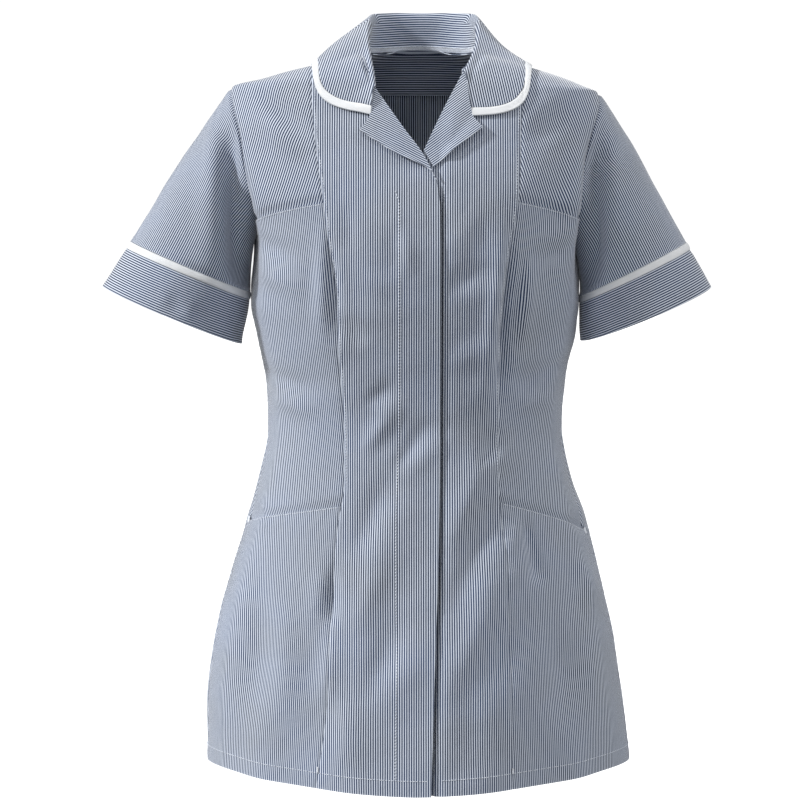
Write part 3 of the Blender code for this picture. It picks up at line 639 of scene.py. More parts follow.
def striped_poly_cotton():
    """Navy and white lines across the cloth map, paler at rubbed edges, with a woven relief."""
    made, tree, shader = empty_material("yarn_dyed_striped_poly_cotton")
    place = add(tree, "ShaderNodeUVMap", uv_map="cloth")
    where = add(tree, "ShaderNodeTexCoord")
    split = add(tree, "ShaderNodeSeparateXYZ", [(0, place.outputs["UV"])])
    drift = add(tree, "ShaderNodeTexNoise", [("Vector", where.outputs["Object"]),
                                             ("Scale", DRIFTS_PER_METRE), ("Detail", 2.0)])
    wander = add(tree, "ShaderNodeMath", [(0, drift.outputs["Fac"]), (1, STRIPE_DRIFT)],
                 operation="MULTIPLY")
    across = add(tree, "ShaderNodeMath", [(0, split.outputs["X"]),
                                          (1, wander.outputs[0])], operation="ADD")
    turns = add(tree, "ShaderNodeMath", [(0, across.outputs[0]), (1, STRIPE_PITCH)],
                operation="DIVIDE")
    fold = add(tree, "ShaderNodeMath", [(0, turns.outputs[0]), (1, 0.5)], operation="PINGPONG")
    middle = STRIPE_SHARE / 2
    stripe = add(tree, "ShaderNodeMapRange",
                 [("Value", fold.outputs[0]), ("From Min", middle - STRIPE_EDGE),
                  ("From Max", middle + STRIPE_EDGE)], interpolation_type="SMOOTHSTEP")
    cloud = add(tree, "ShaderNodeTexNoise", [("Vector", where.outputs["Object"]),
                                             ("Scale", CLOUDS_PER_METRE), ("Detail", 4.0)])
    tone = add(tree, "ShaderNodeMapRange", [("Value", cloud.outputs["Fac"]),
                                            ("From Min", 0.3), ("From Max", 0.7)])
    stretch = add(tree, "ShaderNodeMapping", [("Vector", place.outputs["UV"]),
                                              ("Scale", SLUBS_PER_METRE)])
    slub = add(tree, "ShaderNodeTexNoise", [("Vector", stretch.outputs["Vector"]),
                                            ("Scale", 1.0), ("Detail", 2.0)])
    navy = add(tree, "ShaderNodeMix", [("Factor", tone.outputs["Result"]),
                                       (6, linear("0F223F")), (7, linear("193763"))],
               data_type="RGBA")
    white = add(tree, "ShaderNodeMix", [("Factor", slub.outputs["Fac"]),
                                        (6, linear("C5D0E1")), (7, linear("E8EEF8"))],
                data_type="RGBA")
    cloth = add(tree, "ShaderNodeMix", [("Factor", stripe.outputs["Result"]),
                                        (6, navy.outputs[2]), (7, white.outputs[2])],
                data_type="RGBA")
    edge = add(tree, "ShaderNodeAttribute", attribute_name="edge_mm")
    worn = add(tree, "ShaderNodeMapRange",
               [("Value", edge.outputs["Fac"]), ("From Min", 0.0), ("From Max", RUBBED_EDGE),
                ("To Min", RUBBED_SHARE), ("To Max", 0.0)])
    rubbed = add(tree, "ShaderNodeMix", [("Factor", worn.outputs["Result"]),
                                         (6, cloth.outputs[2]), (7, linear("C4CBD6"))],
                 data_type="RGBA")
    tree.links.new(rubbed.outputs[2], shader.inputs["Base Color"])
    waves = []
    for axis, shift in (("X", 0.0), ("Y", 0.5)):
        count = add(tree, "ShaderNodeMath", [(0, split.outputs[axis]),
                                             (1, 2 * math.pi / THREAD_PITCH)],
                    operation="MULTIPLY")
        moved = add(tree, "ShaderNodeMath", [(0, count.outputs[0]), (1, math.pi * shift)],
                    operation="ADD")
        waves.append(add(tree, "ShaderNodeMath", [(0, moved.outputs[0])], operation="SINE"))
    weave = add(tree, "ShaderNodeMath", [(0, waves[0].outputs[0]), (1, waves[1].outputs[0])],
                operation="MULTIPLY")
    crumple = add(tree, "ShaderNodeTexNoise", [("Vector", where.outputs["Object"]),
                                               ("Scale", CRUMPLES_PER_METRE), ("Detail", 3.0)])
    thread_bump = add(tree, "ShaderNodeBump", [("Height", weave.outputs[0]),
                                               ("Strength", 0.35),
                                               ("Distance", THREAD_DEPTH)])
    bump = add(tree, "ShaderNodeBump", [("Height", crumple.outputs["Fac"]),
                                        ("Strength", 0.30), ("Distance", CRUMPLE_DEPTH),
                                        ("Normal", thread_bump.outputs["Normal"])])
    tree.links.new(bump.outputs["Normal"], shader.inputs["Normal"])
    rough = add(tree, "ShaderNodeMapRange", [("Value", slub.outputs["Fac"]),
                                             ("To Min", 0.72), ("To Max", 0.90)])
    tree.links.new(rough.outputs["Result"], shader.inputs["Roughness"])
    shader.inputs["IOR"].default_value = 1.5
    shader.inputs["Metallic"].default_value = 0.0
    shader.inputs["Specular IOR Level"].default_value = 0.35
    shader.inputs["Sheen Weight"].default_value = 0.6
    shader.inputs["Sheen Roughness"].default_value = 0.4
    return made


STRIPED = striped_poly_cotton()
print("made", STRIPED.name)


# %% [markdown]
# ### White trim and thread
# The trim is white cotton tape, folded over an edge and pressed. Its twill ribs run across it
# about 0.7 mm apart, too fine to show, so they are drawn at 1.1 mm. Handling leaves its edges a
# little greyer. The thread is spun polyester, a little glossier than the cloth, and its twist
# repeats about every millimetre.

# %% White trim and thread
RIB_PITCH = 0.0011
RIB_DEPTH = 0.00015
TAPE_CLOUDS_PER_METRE = 60.0
SOILED_EDGE = 1.4
SOILED_SHARE = 0.35
TWISTS_PER_METRE = 900.0
TWIST_DEPTH = 0.0001


def white_cotton_tape():
    """White tape with slanting ribs, greyer at its edges."""
    made, tree, shader = empty_material("white_cotton_twill_tape")
    place = add(tree, "ShaderNodeUVMap", uv_map="cloth")
    where = add(tree, "ShaderNodeTexCoord")
    split = add(tree, "ShaderNodeSeparateXYZ", [(0, place.outputs["UV"])])
    slant = add(tree, "ShaderNodeMath", [(0, split.outputs["X"]), (1, split.outputs["Y"])],
                operation="ADD")
    count = add(tree, "ShaderNodeMath", [(0, slant.outputs[0]), (1, 2 * math.pi / RIB_PITCH)],
                operation="MULTIPLY")
    rib = add(tree, "ShaderNodeMath", [(0, count.outputs[0])], operation="SINE")
    cloud = add(tree, "ShaderNodeTexNoise", [("Vector", where.outputs["Object"]),
                                             ("Scale", TAPE_CLOUDS_PER_METRE), ("Detail", 4.0)])
    tape = add(tree, "ShaderNodeMix", [("Factor", cloud.outputs["Fac"]),
                                       (6, linear("DDE1E6")), (7, linear("FBFCFD"))],
               data_type="RGBA")
    edge = add(tree, "ShaderNodeAttribute", attribute_name="edge_mm")
    worn = add(tree, "ShaderNodeMapRange",
               [("Value", edge.outputs["Fac"]), ("From Min", 0.0), ("From Max", SOILED_EDGE),
                ("To Min", SOILED_SHARE), ("To Max", 0.0)])
    soiled = add(tree, "ShaderNodeMix", [("Factor", worn.outputs["Result"]),
                                         (6, tape.outputs[2]), (7, linear("C3C9D1"))],
                 data_type="RGBA")
    tree.links.new(soiled.outputs[2], shader.inputs["Base Color"])
    rib_bump = add(tree, "ShaderNodeBump", [("Height", rib.outputs[0]), ("Strength", 0.35),
                                            ("Distance", RIB_DEPTH)])
    bump = add(tree, "ShaderNodeBump", [("Height", cloud.outputs["Fac"]), ("Strength", 0.4),
                                        ("Distance", CRUMPLE_DEPTH),
                                        ("Normal", rib_bump.outputs["Normal"])])
    tree.links.new(bump.outputs["Normal"], shader.inputs["Normal"])
    shader.inputs["Roughness"].default_value = 0.8
    shader.inputs["IOR"].default_value = 1.5
    shader.inputs["Sheen Weight"].default_value = 0.1
    return made


def spun_thread():
    """White thread whose twist shows as fine light and dark."""
    made, tree, shader = empty_material("white_spun_polyester_thread")
    where = add(tree, "ShaderNodeTexCoord")
    lay = add(tree, "ShaderNodeTexNoise", [("Vector", where.outputs["Object"]),
                                           ("Scale", TWISTS_PER_METRE), ("Detail", 2.0)])
    tone = add(tree, "ShaderNodeMix", [("Factor", lay.outputs["Fac"]),
                                       (6, linear("C7D0DE")), (7, linear("F4F6FA"))],
               data_type="RGBA")
    tree.links.new(tone.outputs[2], shader.inputs["Base Color"])
    twist = add(tree, "ShaderNodeBump", [("Height", lay.outputs["Fac"]), ("Strength", 0.5),
                                         ("Distance", TWIST_DEPTH)])
    tree.links.new(twist.outputs["Normal"], shader.inputs["Normal"])
    shader.inputs["Roughness"].default_value = 0.55
    shader.inputs["IOR"].default_value = 1.55
    return made


TAPE = white_cotton_tape()
THREAD = spun_thread()
print("made", TAPE.name, "and", THREAD.name)


# %% [markdown]
# ## From a flat cut to a sewn panel
# A panel is a grid of points between two of its seams. Real cloth has two faces, so each grid is
# made twice, 0.9 mm apart, and closed round its rim. Where a panel is sewn to its neighbour the
# cloth turns in, so both dip a little at the seam and the stitching gathers it into small
# puckers. The rows and columns lie closer together there, to give these shapes room.

# %% Rows and columns of a cut
NEAR_EDGE = np.array([0, 0.5, 1.1, 1.9, 3.0, 4.6])
NEAR_SHARE = 0.4
ROUGH_COLUMNS = 12


def edge_places(length, middle_count):
    """Places along a length in mm, close together near both of its ends."""
    room = np.asarray(length)[..., None] * NEAR_SHARE / NEAR_EDGE[-1]
    near = NEAR_EDGE * np.minimum(1.0, room)
    start, end = near[..., -1:], np.asarray(length)[..., None] - near[..., -1:]
    middle = np.linspace(0, 1, middle_count + 2)[1:-1]
    far = np.asarray(length)[..., None] - near[..., ::-1]
    return np.concatenate([near, start + (end - start) * middle, far], axis=-1)


def step_lengths(points, axis):
    """Distance run along the grid from its first row or column, in mm."""
    steps = np.linalg.norm(np.diff(points, axis=axis), axis=-1)
    run = np.cumsum(steps, axis=axis)
    return np.concatenate([np.zeros_like(np.take(run, [0], axis)), run], axis=axis)


def panel_rows(starts, ends, close=()):
    """Rows of angle and height between two edges, finer near all four sides.

    close lists more places, in mm from the first edge, where columns lie close together.
    """
    paths = [body_ring(edge[:, 0], edge[:, 1]) for edge in (starts, ends)]
    run = sum(step_lengths(path, 0) for path in paths) / 2
    want = edge_places(run[-1], int(run[-1] / GRID))
    starts, ends = (np.stack([np.interp(want, run, edge[:, i]) for i in (0, 1)], axis=-1)
                    for edge in (starts, ends))
    share = np.linspace(0, 1, ROUGH_COLUMNS)[None, :, None]
    rough = starts[:, None] * (1 - share) + ends[:, None] * share
    width = step_lengths(body_ring(rough[..., 0], rough[..., 1]), 1)[:, -1]
    places = edge_places(width, int(width.max() / GRID))
    if len(close):
        more = np.tile(close, (len(places), 1))
        places = np.sort(np.concatenate([places, more], axis=1), axis=1)
    shares = (places / width[:, None])[..., None]
    return starts[:, None] * (1 - shares) + ends[:, None] * shares


FIRST_ANGLE = -360
LAST_ANGLE = 180
ABOVE_NECK = 7.0
BELOW_HEM = HEM - 2
LEVEL_COUNT = 160


def around_body():
    """How far round the body an angle is from centre front, for any height, as a function."""
    angles = np.linspace(FIRST_ANGLE, LAST_ANGLE, LAST_ANGLE - FIRST_ANGLE + 1)
    heights = np.linspace(BELOW_HEM, ABOVE_NECK, LEVEL_COUNT)
    ring = body_ring(angles[None, :], heights[:, None])
    run = step_lengths(ring[..., :2], 1)
    run -= run[:, [-FIRST_ANGLE]]

    def at(angle, height):
        column_place = np.clip(np.asarray(angle) - FIRST_ANGLE, 0, len(angles) - 1.001)
        row_place = np.clip((np.asarray(height) - heights[0]) / (heights[1] - heights[0]),
                            0, len(heights) - 1.001)
        i, j = row_place.astype(int), column_place.astype(int)
        a, b = row_place - i, column_place - j
        low = run[i, j] * (1 - b) + run[i, j + 1] * b
        high = run[i + 1, j] * (1 - b) + run[i + 1, j + 1] * b
        return low * (1 - a) + high * a

    return at


AROUND = around_body()
print("a quarter round at the hem, in mm:", AROUND(90.0, HEM).round(1))

# %% [markdown]
# ### A wall of cloth
# Each sheet is two faces closed by a rim. It carries a map in metres, which the stripes follow,
# and each point's distance from the edge, which the finishes use to rub edges. A solidify step
# could give thickness too, but here the two faces may differ, as at a hem that is turned up.

# %% A wall of cloth
SHARP_EDGE = math.radians(55)
CUT = {}


def shell(name, outer, inner, cloth_map, edge, finish=None, tube=False):
    """A closed wall of cloth with its UV map and its distance from the edge."""
    rows, columns = outer.shape[:2]
    across = columns - 1
    stored = outer[:, :-1] if tube else outer
    width = stored.shape[1]
    count = rows * width

    def at(row, col):
        return row * width + (col % width if tube else col)

    def place(row, col):
        return row * columns + col

    faces, spots = [], []

    def face(corners, order=1):
        pick = corners[::order]
        faces.append([at(r, c) + count * side for r, c, side in pick])
        spots.append([place(r, c) for r, c, side in pick])

    for row in range(rows - 1):
        for col in range(across):
            quad = [(row, col), (row, col + 1), (row + 1, col + 1), (row + 1, col)]
            face([(r, c, 0) for r, c in quad])
            face([(r, c, 1) for r, c in quad], -1)
    for col in range(across):
        for row, order in ((0, 1), (rows - 1, -1)):
            face([(row, col + 1, 0), (row, col, 0), (row, col, 1), (row, col + 1, 1)], order)
    for row in range(0 if tube else rows - 1):
        for col, order in ((0, 1), (columns - 1, -1)):
            face([(row, col, 0), (row + 1, col, 0), (row + 1, col, 1), (row, col, 1)], order)
    inside = inner[:, :-1] if tube else inner
    points = np.concatenate([stored.reshape(-1, 3), inside.reshape(-1, 3)]) * METRES
    corners = points[np.array(faces)]
    crossed = sum(np.cross(corners[:, i], corners[:, i + 1]) for i in (1, 2))
    flip = np.einsum("ij,ij->", corners[:, 0], crossed) < 0
    if flip:
        faces = [f[::-1] for f in faces]
        spots = [s[::-1] for s in spots]
    mesh = bpy.data.meshes.new(name)
    mesh.from_pydata(points.tolist(), [], faces)
    layer = mesh.uv_layers.new(name="cloth")
    flat = cloth_map.reshape(-1, 2)[np.array(spots).ravel()] * METRES
    layer.data.foreach_set("uv", flat.ravel())
    kept = edge[:, :-1] if tube else edge
    wear = mesh.attributes.new("edge_mm", "FLOAT", "POINT")
    wear.data.foreach_set("value", np.concatenate([kept.ravel(), kept.ravel()]))
    mesh.shade_smooth()
    mesh.set_sharp_from_angle(angle=SHARP_EDGE)
    made = bpy.data.objects.new(name, mesh)
    made.data.materials.append(finish or STRIPED)
    bpy.context.scene.collection.objects.link(made)
    middle = (outer + inner) / 2
    quads = [middle[:-1, :-1], middle[:-1, 1:], middle[1:, 1:], middle[1:, :-1]]
    area = 0.5 * np.linalg.norm(np.cross(quads[2] - quads[0], quads[3] - quads[1]), axis=-1).sum()
    CUT[name] = (step_lengths(middle, 1)[:, -1].max() * METRES,
                 step_lengths(middle, 0)[-1].max() * METRES, area * METRES**2)
    print(f"{name}: {2 * len(faces)} triangles, cut {CUT[name][0]:.3f} by {CUT[name][1]:.3f} m")
    return made


# %% [markdown]
# ### A panel
# A panel takes its grid from the body and its stripes from the distance round it. Seen from
# straight in front, real stripes look evenly spaced where the cloth faces the eye. So on most
# panels they are spaced by that view there, and along the cloth where it turns to the side.

# %% A panel
SEAM_DIP = 0.85
SEAM_WIDTH = 1.7
PUCKER = 0.22
PUCKER_LENGTH = 10.5
PUCKER_UNEVEN = 2.2
PUCKER_DRIFT = 37.0
PUCKER_REACH = 5.0
DEGREE_RUN = 2.5
SEAM_SPACE = 0.08
FACING_END = 64
SIDE_START = 90
LEVEL_FROM = -130
LEVEL_FULL = -70


def edge_distances(points):
    """Distance of each point from the first and last column and the first and last row."""
    over, down = step_lengths(points, 1), step_lengths(points, 0)
    return {"l": over, "r": over[:, -1:] - over, "b": down, "t": down[-1:] - down}


def pulled_in(outer, inner, amount=SEAM_SPACE):
    """Draws the four sides of a panel in, so that neighbours don't touch."""
    for axis in (0, 1):
        for edge, next_in in ((0, 1), (-1, -2)):
            for face in (outer, inner):
                rim = np.take(face, edge, axis)
                pull = unit(np.take(face, next_in, axis) - rim) * amount
                index = (edge, slice(None)) if axis == 0 else (slice(None), edge)
                face[index] = rim + pull
    return outer, inner


def panel(name, rows, out=0.0, seams="lrbt", lean=0.0, wall=CLOTH, back=False, level=False,
          pitch_scale=1.0, flatness=0.0):
    """A panel on the body.

    seams lists its sewn sides and lean turns its stripes, in degrees. flatness sets how far the
    stripes keep their distance as seen from straight in front or behind, not along the cloth.
    """
    angles, heights = rows[..., 0], rows[..., 1]
    flat = body_ring(angles, heights)
    away = edge_distances(flat)
    out = np.asarray(out, float) + np.zeros(angles.shape)
    for side in seams:
        near = np.exp(-((away[side] / SEAM_WIDTH) ** 2))
        run = heights if side in "lr" else angles * DEGREE_RUN
        gather = np.sin(run * (2 * math.pi / PUCKER_LENGTH)
                        + PUCKER_UNEVEN * np.sin(run / PUCKER_DRIFT))
        reach = np.exp(-away[side] / PUCKER_REACH)
        out = out - SEAM_DIP * near + PUCKER * gather * reach * (1 - near)
    outer = body(angles, heights, out)
    thick = np.where(heights < HEM + HEM_TURN, 2 * wall, wall)
    inner = body(angles, heights, out - thick)
    start = AROUND(-180.0, heights) if back else 0.0
    if back:
        angles = np.where(angles > 0, angles - 360, angles)
    across = AROUND(angles, heights) - start
    plain = -flat[..., 0] if back else flat[..., 0]
    aside = np.abs(angles + 180) if back else np.abs(angles)
    facing = np.maximum(1 - ramp(aside, FACING_END, SIDE_START),
                        ramp(heights, LEVEL_FROM, LEVEL_FULL))
    across += (plain - across) * facing * flatness
    if level:
        across = np.zeros_like(across)
        lean = 90.0
    turn = math.radians(lean)
    down = -heights
    cloth_map = np.stack([across * math.cos(turn) + down * math.sin(turn),
                          down * math.cos(turn) - across * math.sin(turn)], axis=-1)
    edge = np.minimum.reduce([away[side] for side in "lrbt"])
    return shell(name, *pulled_in(outer, inner), cloth_map * pitch_scale, edge)

# %% [markdown]
# ## The fronts
# Each front is four panels: a long centre front from hem to shoulder, a shoulder piece beside
# the armhole, a side front, and a hip piece whose top edge is the pocket mouth. The right front
# laps over the left one, so the left one sinks a little where it passes under. Stripes run with
# the grain of each panel, and lean where a panel was cut at a slant.

# %% Edges of the panels
LAP_FROM = 84
LAP_FULL = 104
MOUTH_FROM = 0.5
MOUTH_SLACK = 0.2
MOUTH_EASE = 9.0


def side_name(side):
    return "right" if side == RIGHT else "left"


def lap_sink(rows):
    """How far the left front sinks to pass under the right front, whose hem is doubled."""
    height = rows[..., 1]
    x = body_ring(rows[..., 0], height)[..., 0]
    edge = LAP_X(height)
    turned = SOLID_WALL * (1 - ramp(height, HEM, HEM + HEM_TURN))
    under = (1 - ramp(x, edge + LAP_CLEAR, edge + LAP_EASE)) * ramp(-height, LAP_FROM, LAP_FULL)
    return -(UNDER_LAYER + LAP_SLACK + turned) * under


def princess_levels(side):
    """The heights along a princess seam: hip piece, side piece and shoulder piece in turn."""
    hip, chest = HIP_EDGE[side].princess_height, CHEST_EDGE[side].princess_height
    lower = np.linspace(HEM, hip, HIP_LEVELS)
    middle = np.linspace(hip, chest, SIDE_LEVELS)
    places = np.linspace(0, 1, len(SHOULDER_CLIMB))
    climb = np.interp(np.linspace(0, 1, ARMHOLE_STEPS), places, SHOULDER_CLIMB)
    upper = chest + climb * (SHOULDER_SEAM_END - chest)
    return lower, middle, upper


def side_levels(side):
    """The heights along a side seam: hip piece, then side piece up to the armpit."""
    hip = HIP_EDGE[side]
    lower = np.linspace(HEM, hip.side_height, HIP_LEVELS)
    return lower, np.linspace(hip.seam_height, ARMPIT, SIDE_LEVELS)


def side_seam(side, heights):
    return np.stack([SIDE_ANGLE[side](heights), heights], axis=-1)


def mouth_sink(rows, side, table):
    """How far a panel sinks to pass under the edge of the one below it."""
    mouth = table[side]
    seam = FRONT_SEAM[side](mouth.princess_height)
    start = angle_at(seam, mouth.princess_height)
    end = SIDE_ANGLE[side](mouth.side_height)
    share = np.clip((rows[..., 0] - start) / (end - start), 0, 1)
    line = mouth.princess_height + (mouth.side_height - mouth.princess_height) * share
    return -(UNDER_LAYER + MOUTH_SLACK) * (1 - ramp(rows[..., 1] - line, MOUTH_FROM, MOUTH_EASE))


print("heights up the right princess seam:", sum(len(part) for part in princess_levels(RIGHT)))

# %% [markdown]
# ### Centre fronts
# The two centre fronts meet at the lap. The photograph shows one thin dark line there, where the
# upper cloth stands off the lower one. So the right front lifts a little along its edge, and the
# left one sinks beside it in a narrow trench, with its columns close together to hold that shape.

# %% Centre fronts
TRENCH_FLOOR = 1.9
TRENCH_RIM = 4.2
LAP_EDGE_FROM = 134
LAP_EDGE_FULL = 165
ROLL_SHARE = 0.62
LAP_LIFT = 0.6
LAP_LIFT_WIDTH = 5.0
LAP_TRENCH = 4.5
LAP_PLACES = np.arange(-1.5, 5.6, 0.7)


def front_centre(side):
    """A centre front, from hem to shoulder, its neck cut back to the roll line."""
    middle = LAP_X if side == RIGHT else (lambda height: LAP_X(height) - BUTTON_UNDERLAP)
    lower, side_part, upper = princess_levels(side)
    heights = np.concatenate([lower, side_part[1:]])
    edge = np.stack([angle_at(middle(heights), heights), heights], axis=-1)
    roll_count = int(ROLL_SHARE * len(upper))
    roll = on_front(follow(ROLL_LINE[side], roll_count))
    neck = on_front(follow(NECK_EDGE[side], len(upper) - roll_count))[1:]
    princess = seam_points(np.concatenate([heights, upper[1:]]), FRONT_SEAM[side])
    inner_edge = np.concatenate([edge, roll, neck])
    close = BUTTON_UNDERLAP + LAP_PLACES if side == LEFT else ()
    rows = panel_rows(inner_edge[:len(princess)], princess, close)
    x = body_ring(rows[..., 0], rows[..., 1])[..., 0]
    beside = x - LAP_X(rows[..., 1])
    low = ramp(-rows[..., 1], LAP_EDGE_FROM, LAP_EDGE_FULL)
    if side == LEFT:
        trench = LAP_TRENCH * (1 - ramp(beside, TRENCH_FLOOR, TRENCH_RIM)) * low
        return panel("centre_front_left", rows, lap_sink(rows) - trench, seams="rt")
    lift = LAP_LIFT * np.exp(-((beside / LAP_LIFT_WIDTH) ** 2)) * low
    return panel("centre_front_right", rows, lift, seams="rt")


for side in (RIGHT, LEFT):
    front_centre(side)

# %% [markdown]
# ### Shoulder pieces, side fronts and hip pieces
# These fill the space between the princess seam and the side. Where one laps over the next, the
# lower one runs on 15 mm below the edge. On the side and hip pieces the stripes are drawn about a
# fifth finer than on the centre fronts. At their real pitch they would beat against the pixels of
# a small picture and show wavy patterns.

# %% Shoulder pieces, side fronts and hip pieces
UNDERLAP_ROWS = 8
SHOULDER_LEAN = {RIGHT: 18.0, LEFT: -19.0}
SIDE_LEAN = {RIGHT: -5.0, LEFT: 5.0}
HIP_LEAN = {RIGHT: 2.5, LEFT: -2.0}
SIDE_PITCH = 1.27


def shoulder_piece(side):
    """The piece between princess seam and armhole. It runs on under the chest edge."""
    upper = princess_levels(side)[2]
    drop = np.linspace(upper[0] - POCKET_UNDERLAP, upper[0], UNDERLAP_ROWS)[:-1]
    heights = np.concatenate([drop, upper])
    princess = seam_points(heights, FRONT_SEAM[side])
    edge = armhole(side, np.linspace(180, 0, len(heights)))
    rows = panel_rows(princess, edge)
    sink = mouth_sink(rows, side, CHEST_EDGE)
    panel(f"shoulder_front_{side_name(side)}", rows, sink, seams="lrt",
          lean=SHOULDER_LEAN[side], flatness=1.0)


def side_front(side):
    """The side front, from the chest edge to under the hip edge."""
    levels, seam_heights = princess_levels(side)[1], side_levels(side)[1].copy()
    top = CHEST_EDGE[side].side_height
    seam_heights = seam_heights[0] + (seam_heights - seam_heights[0]) * (
        (top - seam_heights[0]) / (seam_heights[-1] - seam_heights[0]))
    drop = np.linspace(POCKET_UNDERLAP, 0, UNDERLAP_ROWS)[:-1]
    princess = seam_points(np.concatenate([levels[0] - drop, levels]), FRONT_SEAM[side])
    seam = side_seam(side, np.concatenate([seam_heights[0] - drop, seam_heights]))
    rows = panel_rows(princess, seam)
    sink = mouth_sink(rows, side, HIP_EDGE)
    panel(f"side_front_{side_name(side)}", rows, sink, seams="lr", lean=SIDE_LEAN[side],
          flatness=1.0, pitch_scale=SIDE_PITCH)


def hip_piece(side):
    """The hip piece, whose top edge is the pocket mouth."""
    princess = seam_points(princess_levels(side)[0], FRONT_SEAM[side])
    seam = side_seam(side, side_levels(side)[0])
    panel(f"hip_front_{side_name(side)}", panel_rows(princess, seam), seams="lr",
          lean=HIP_LEAN[side], flatness=1.0, pitch_scale=SIDE_PITCH)


for side in (RIGHT, LEFT):
    shoulder_piece(side)
    side_front(side)
    hip_piece(side)

# %% [markdown]
# ## The back
# The photograph shows only its inside at the neck. It is made the plain way that the shape asks
# for: a centre back and two side backs, and a facing that finishes the neck inside. The stripes
# of the facing run level, as the photograph shows, because it was cut across the cloth.

# %% Back panels
BACK_LEAN = 3.0
BACK_STEP = 15
NECK_ROWS = 12
BOW_FROM = -26
BOW_AT_SEAM = 0.43


def back_levels():
    """The heights along the back princess seams, as many as the side backs have rows."""
    lower = np.linspace(HEM, BACK_HIP, HIP_LEVELS)
    middle = np.linspace(BACK_HIP + BACK_STEP, ARMPIT, SIDE_LEVELS)
    places = np.linspace(0, 1, len(SHOULDER_CLIMB))
    steps = np.interp(np.linspace(0, 1, ARMHOLE_STEPS + 1), places, SHOULDER_CLIMB)
    upper = ARMPIT + steps * (SHOULDER_SEAM_END - ARMPIT)
    return np.concatenate([lower, middle, upper[1:]])


def side_back(side):
    """The side back, from side seam and armhole to the back princess seam."""
    lower, upper = side_levels(side)
    hole = armhole(side, np.linspace(180, 360, ARMHOLE_STEPS + 1))[1:]
    edge = np.concatenate([side_seam(side, lower), side_seam(side, upper), hole])
    edge[:, 0] = np.where(edge[:, 0] < -180, edge[:, 0] + 360, edge[:, 0])
    princess = seam_points(back_levels(), BACK_SEAM[side], back=True)
    panel(f"side_back_{side_name(side)}", panel_rows(edge, princess), seams="lrt", back=True,
          lean=BACK_LEAN * side, flatness=1.0)


def centre_back():
    """The centre back, in one piece from hem to neck."""
    right = seam_points(back_levels(), BACK_SEAM[RIGHT], back=True)
    left = seam_points(back_levels(), BACK_SEAM[LEFT], back=True)
    shoulder = np.linspace(SHOULDER_SEAM_END, 0, NECK_ROWS + 1)[1:]
    right = np.concatenate([right, np.stack([np.full(NECK_ROWS, -90.0), shoulder], axis=-1)])
    left = np.concatenate([left, np.stack([np.full(NECK_ROWS, 90.0), shoulder], axis=-1)])
    left[:, 0] -= 360
    rows = panel_rows(right, left)
    share = (rows[..., 0] - rows[:, :1, 0]) / (rows[:, -1:, 0] - rows[:, :1, 0])
    bow = np.interp(rows[..., 1], [BOW_FROM, SHOULDER_SEAM_END, 0],
                    [0, BOW_AT_SEAM * NAPE_RISE, NAPE_RISE])
    rows[..., 1] += bow * np.sin(math.pi * share)
    panel("centre_back", rows, seams="lrt", back=True, flatness=1.0)


FACING_TOP = 2.2
FACING_BOTTOM = -37
FACING_CLIMB = 26
FACING_CURVE = 2.2
FACING_TURN = 84
FACING_COLUMNS = 110
FACING_ROWS = 22
FACING_CLOTH = 0.8


def neck_facing():
    """The band inside the back neck."""
    angles = np.linspace(FACING_TURN - 180, -FACING_TURN - 180, FACING_COLUMNS)
    share = np.abs(angles + 180) / FACING_TURN
    top = NAPE_RISE * np.cos(share * math.pi / 2) + FACING_TOP
    bottom = FACING_BOTTOM + FACING_CLIMB * share**FACING_CURVE
    rows = np.stack([np.stack([angles, bottom + (top - bottom) * t], axis=-1)
                     for t in np.linspace(0, 1, FACING_ROWS)])
    sink = -UNDER_LAYER - FACING_EASE
    panel("back_neck_band", rows, sink, seams="t", wall=FACING_CLOTH, back=True,
          level=True)


for side in (RIGHT, LEFT):
    side_back(side)
centre_back()
neck_facing()

# %% [markdown]
# ## Lapels and collar
# The lapels are the tops of the fronts, turned back along the roll line, so their stripes run
# almost across. The collar is one piece: it stands up from the neck seam, rolls over and falls
# outwards. A white band is set into its edge.

# %% Lapels
LAPEL_LEAN = {RIGHT: -64.0, LEFT: 55.0}
LAPEL_PITCH = 1.2
GORGE_UNDERLAP = 1.5
LAPEL_ROWS = 65
LAPEL_COLUMNS = 26
NOTCH_FROM = 0.45
RISE_FROM = 0.2
RISE_FULL = 0.6
LAPEL_CURL = 3.0
CURL_EDGE = 0.72
CURL_FROM = 0.1
CURL_FULL = 0.4


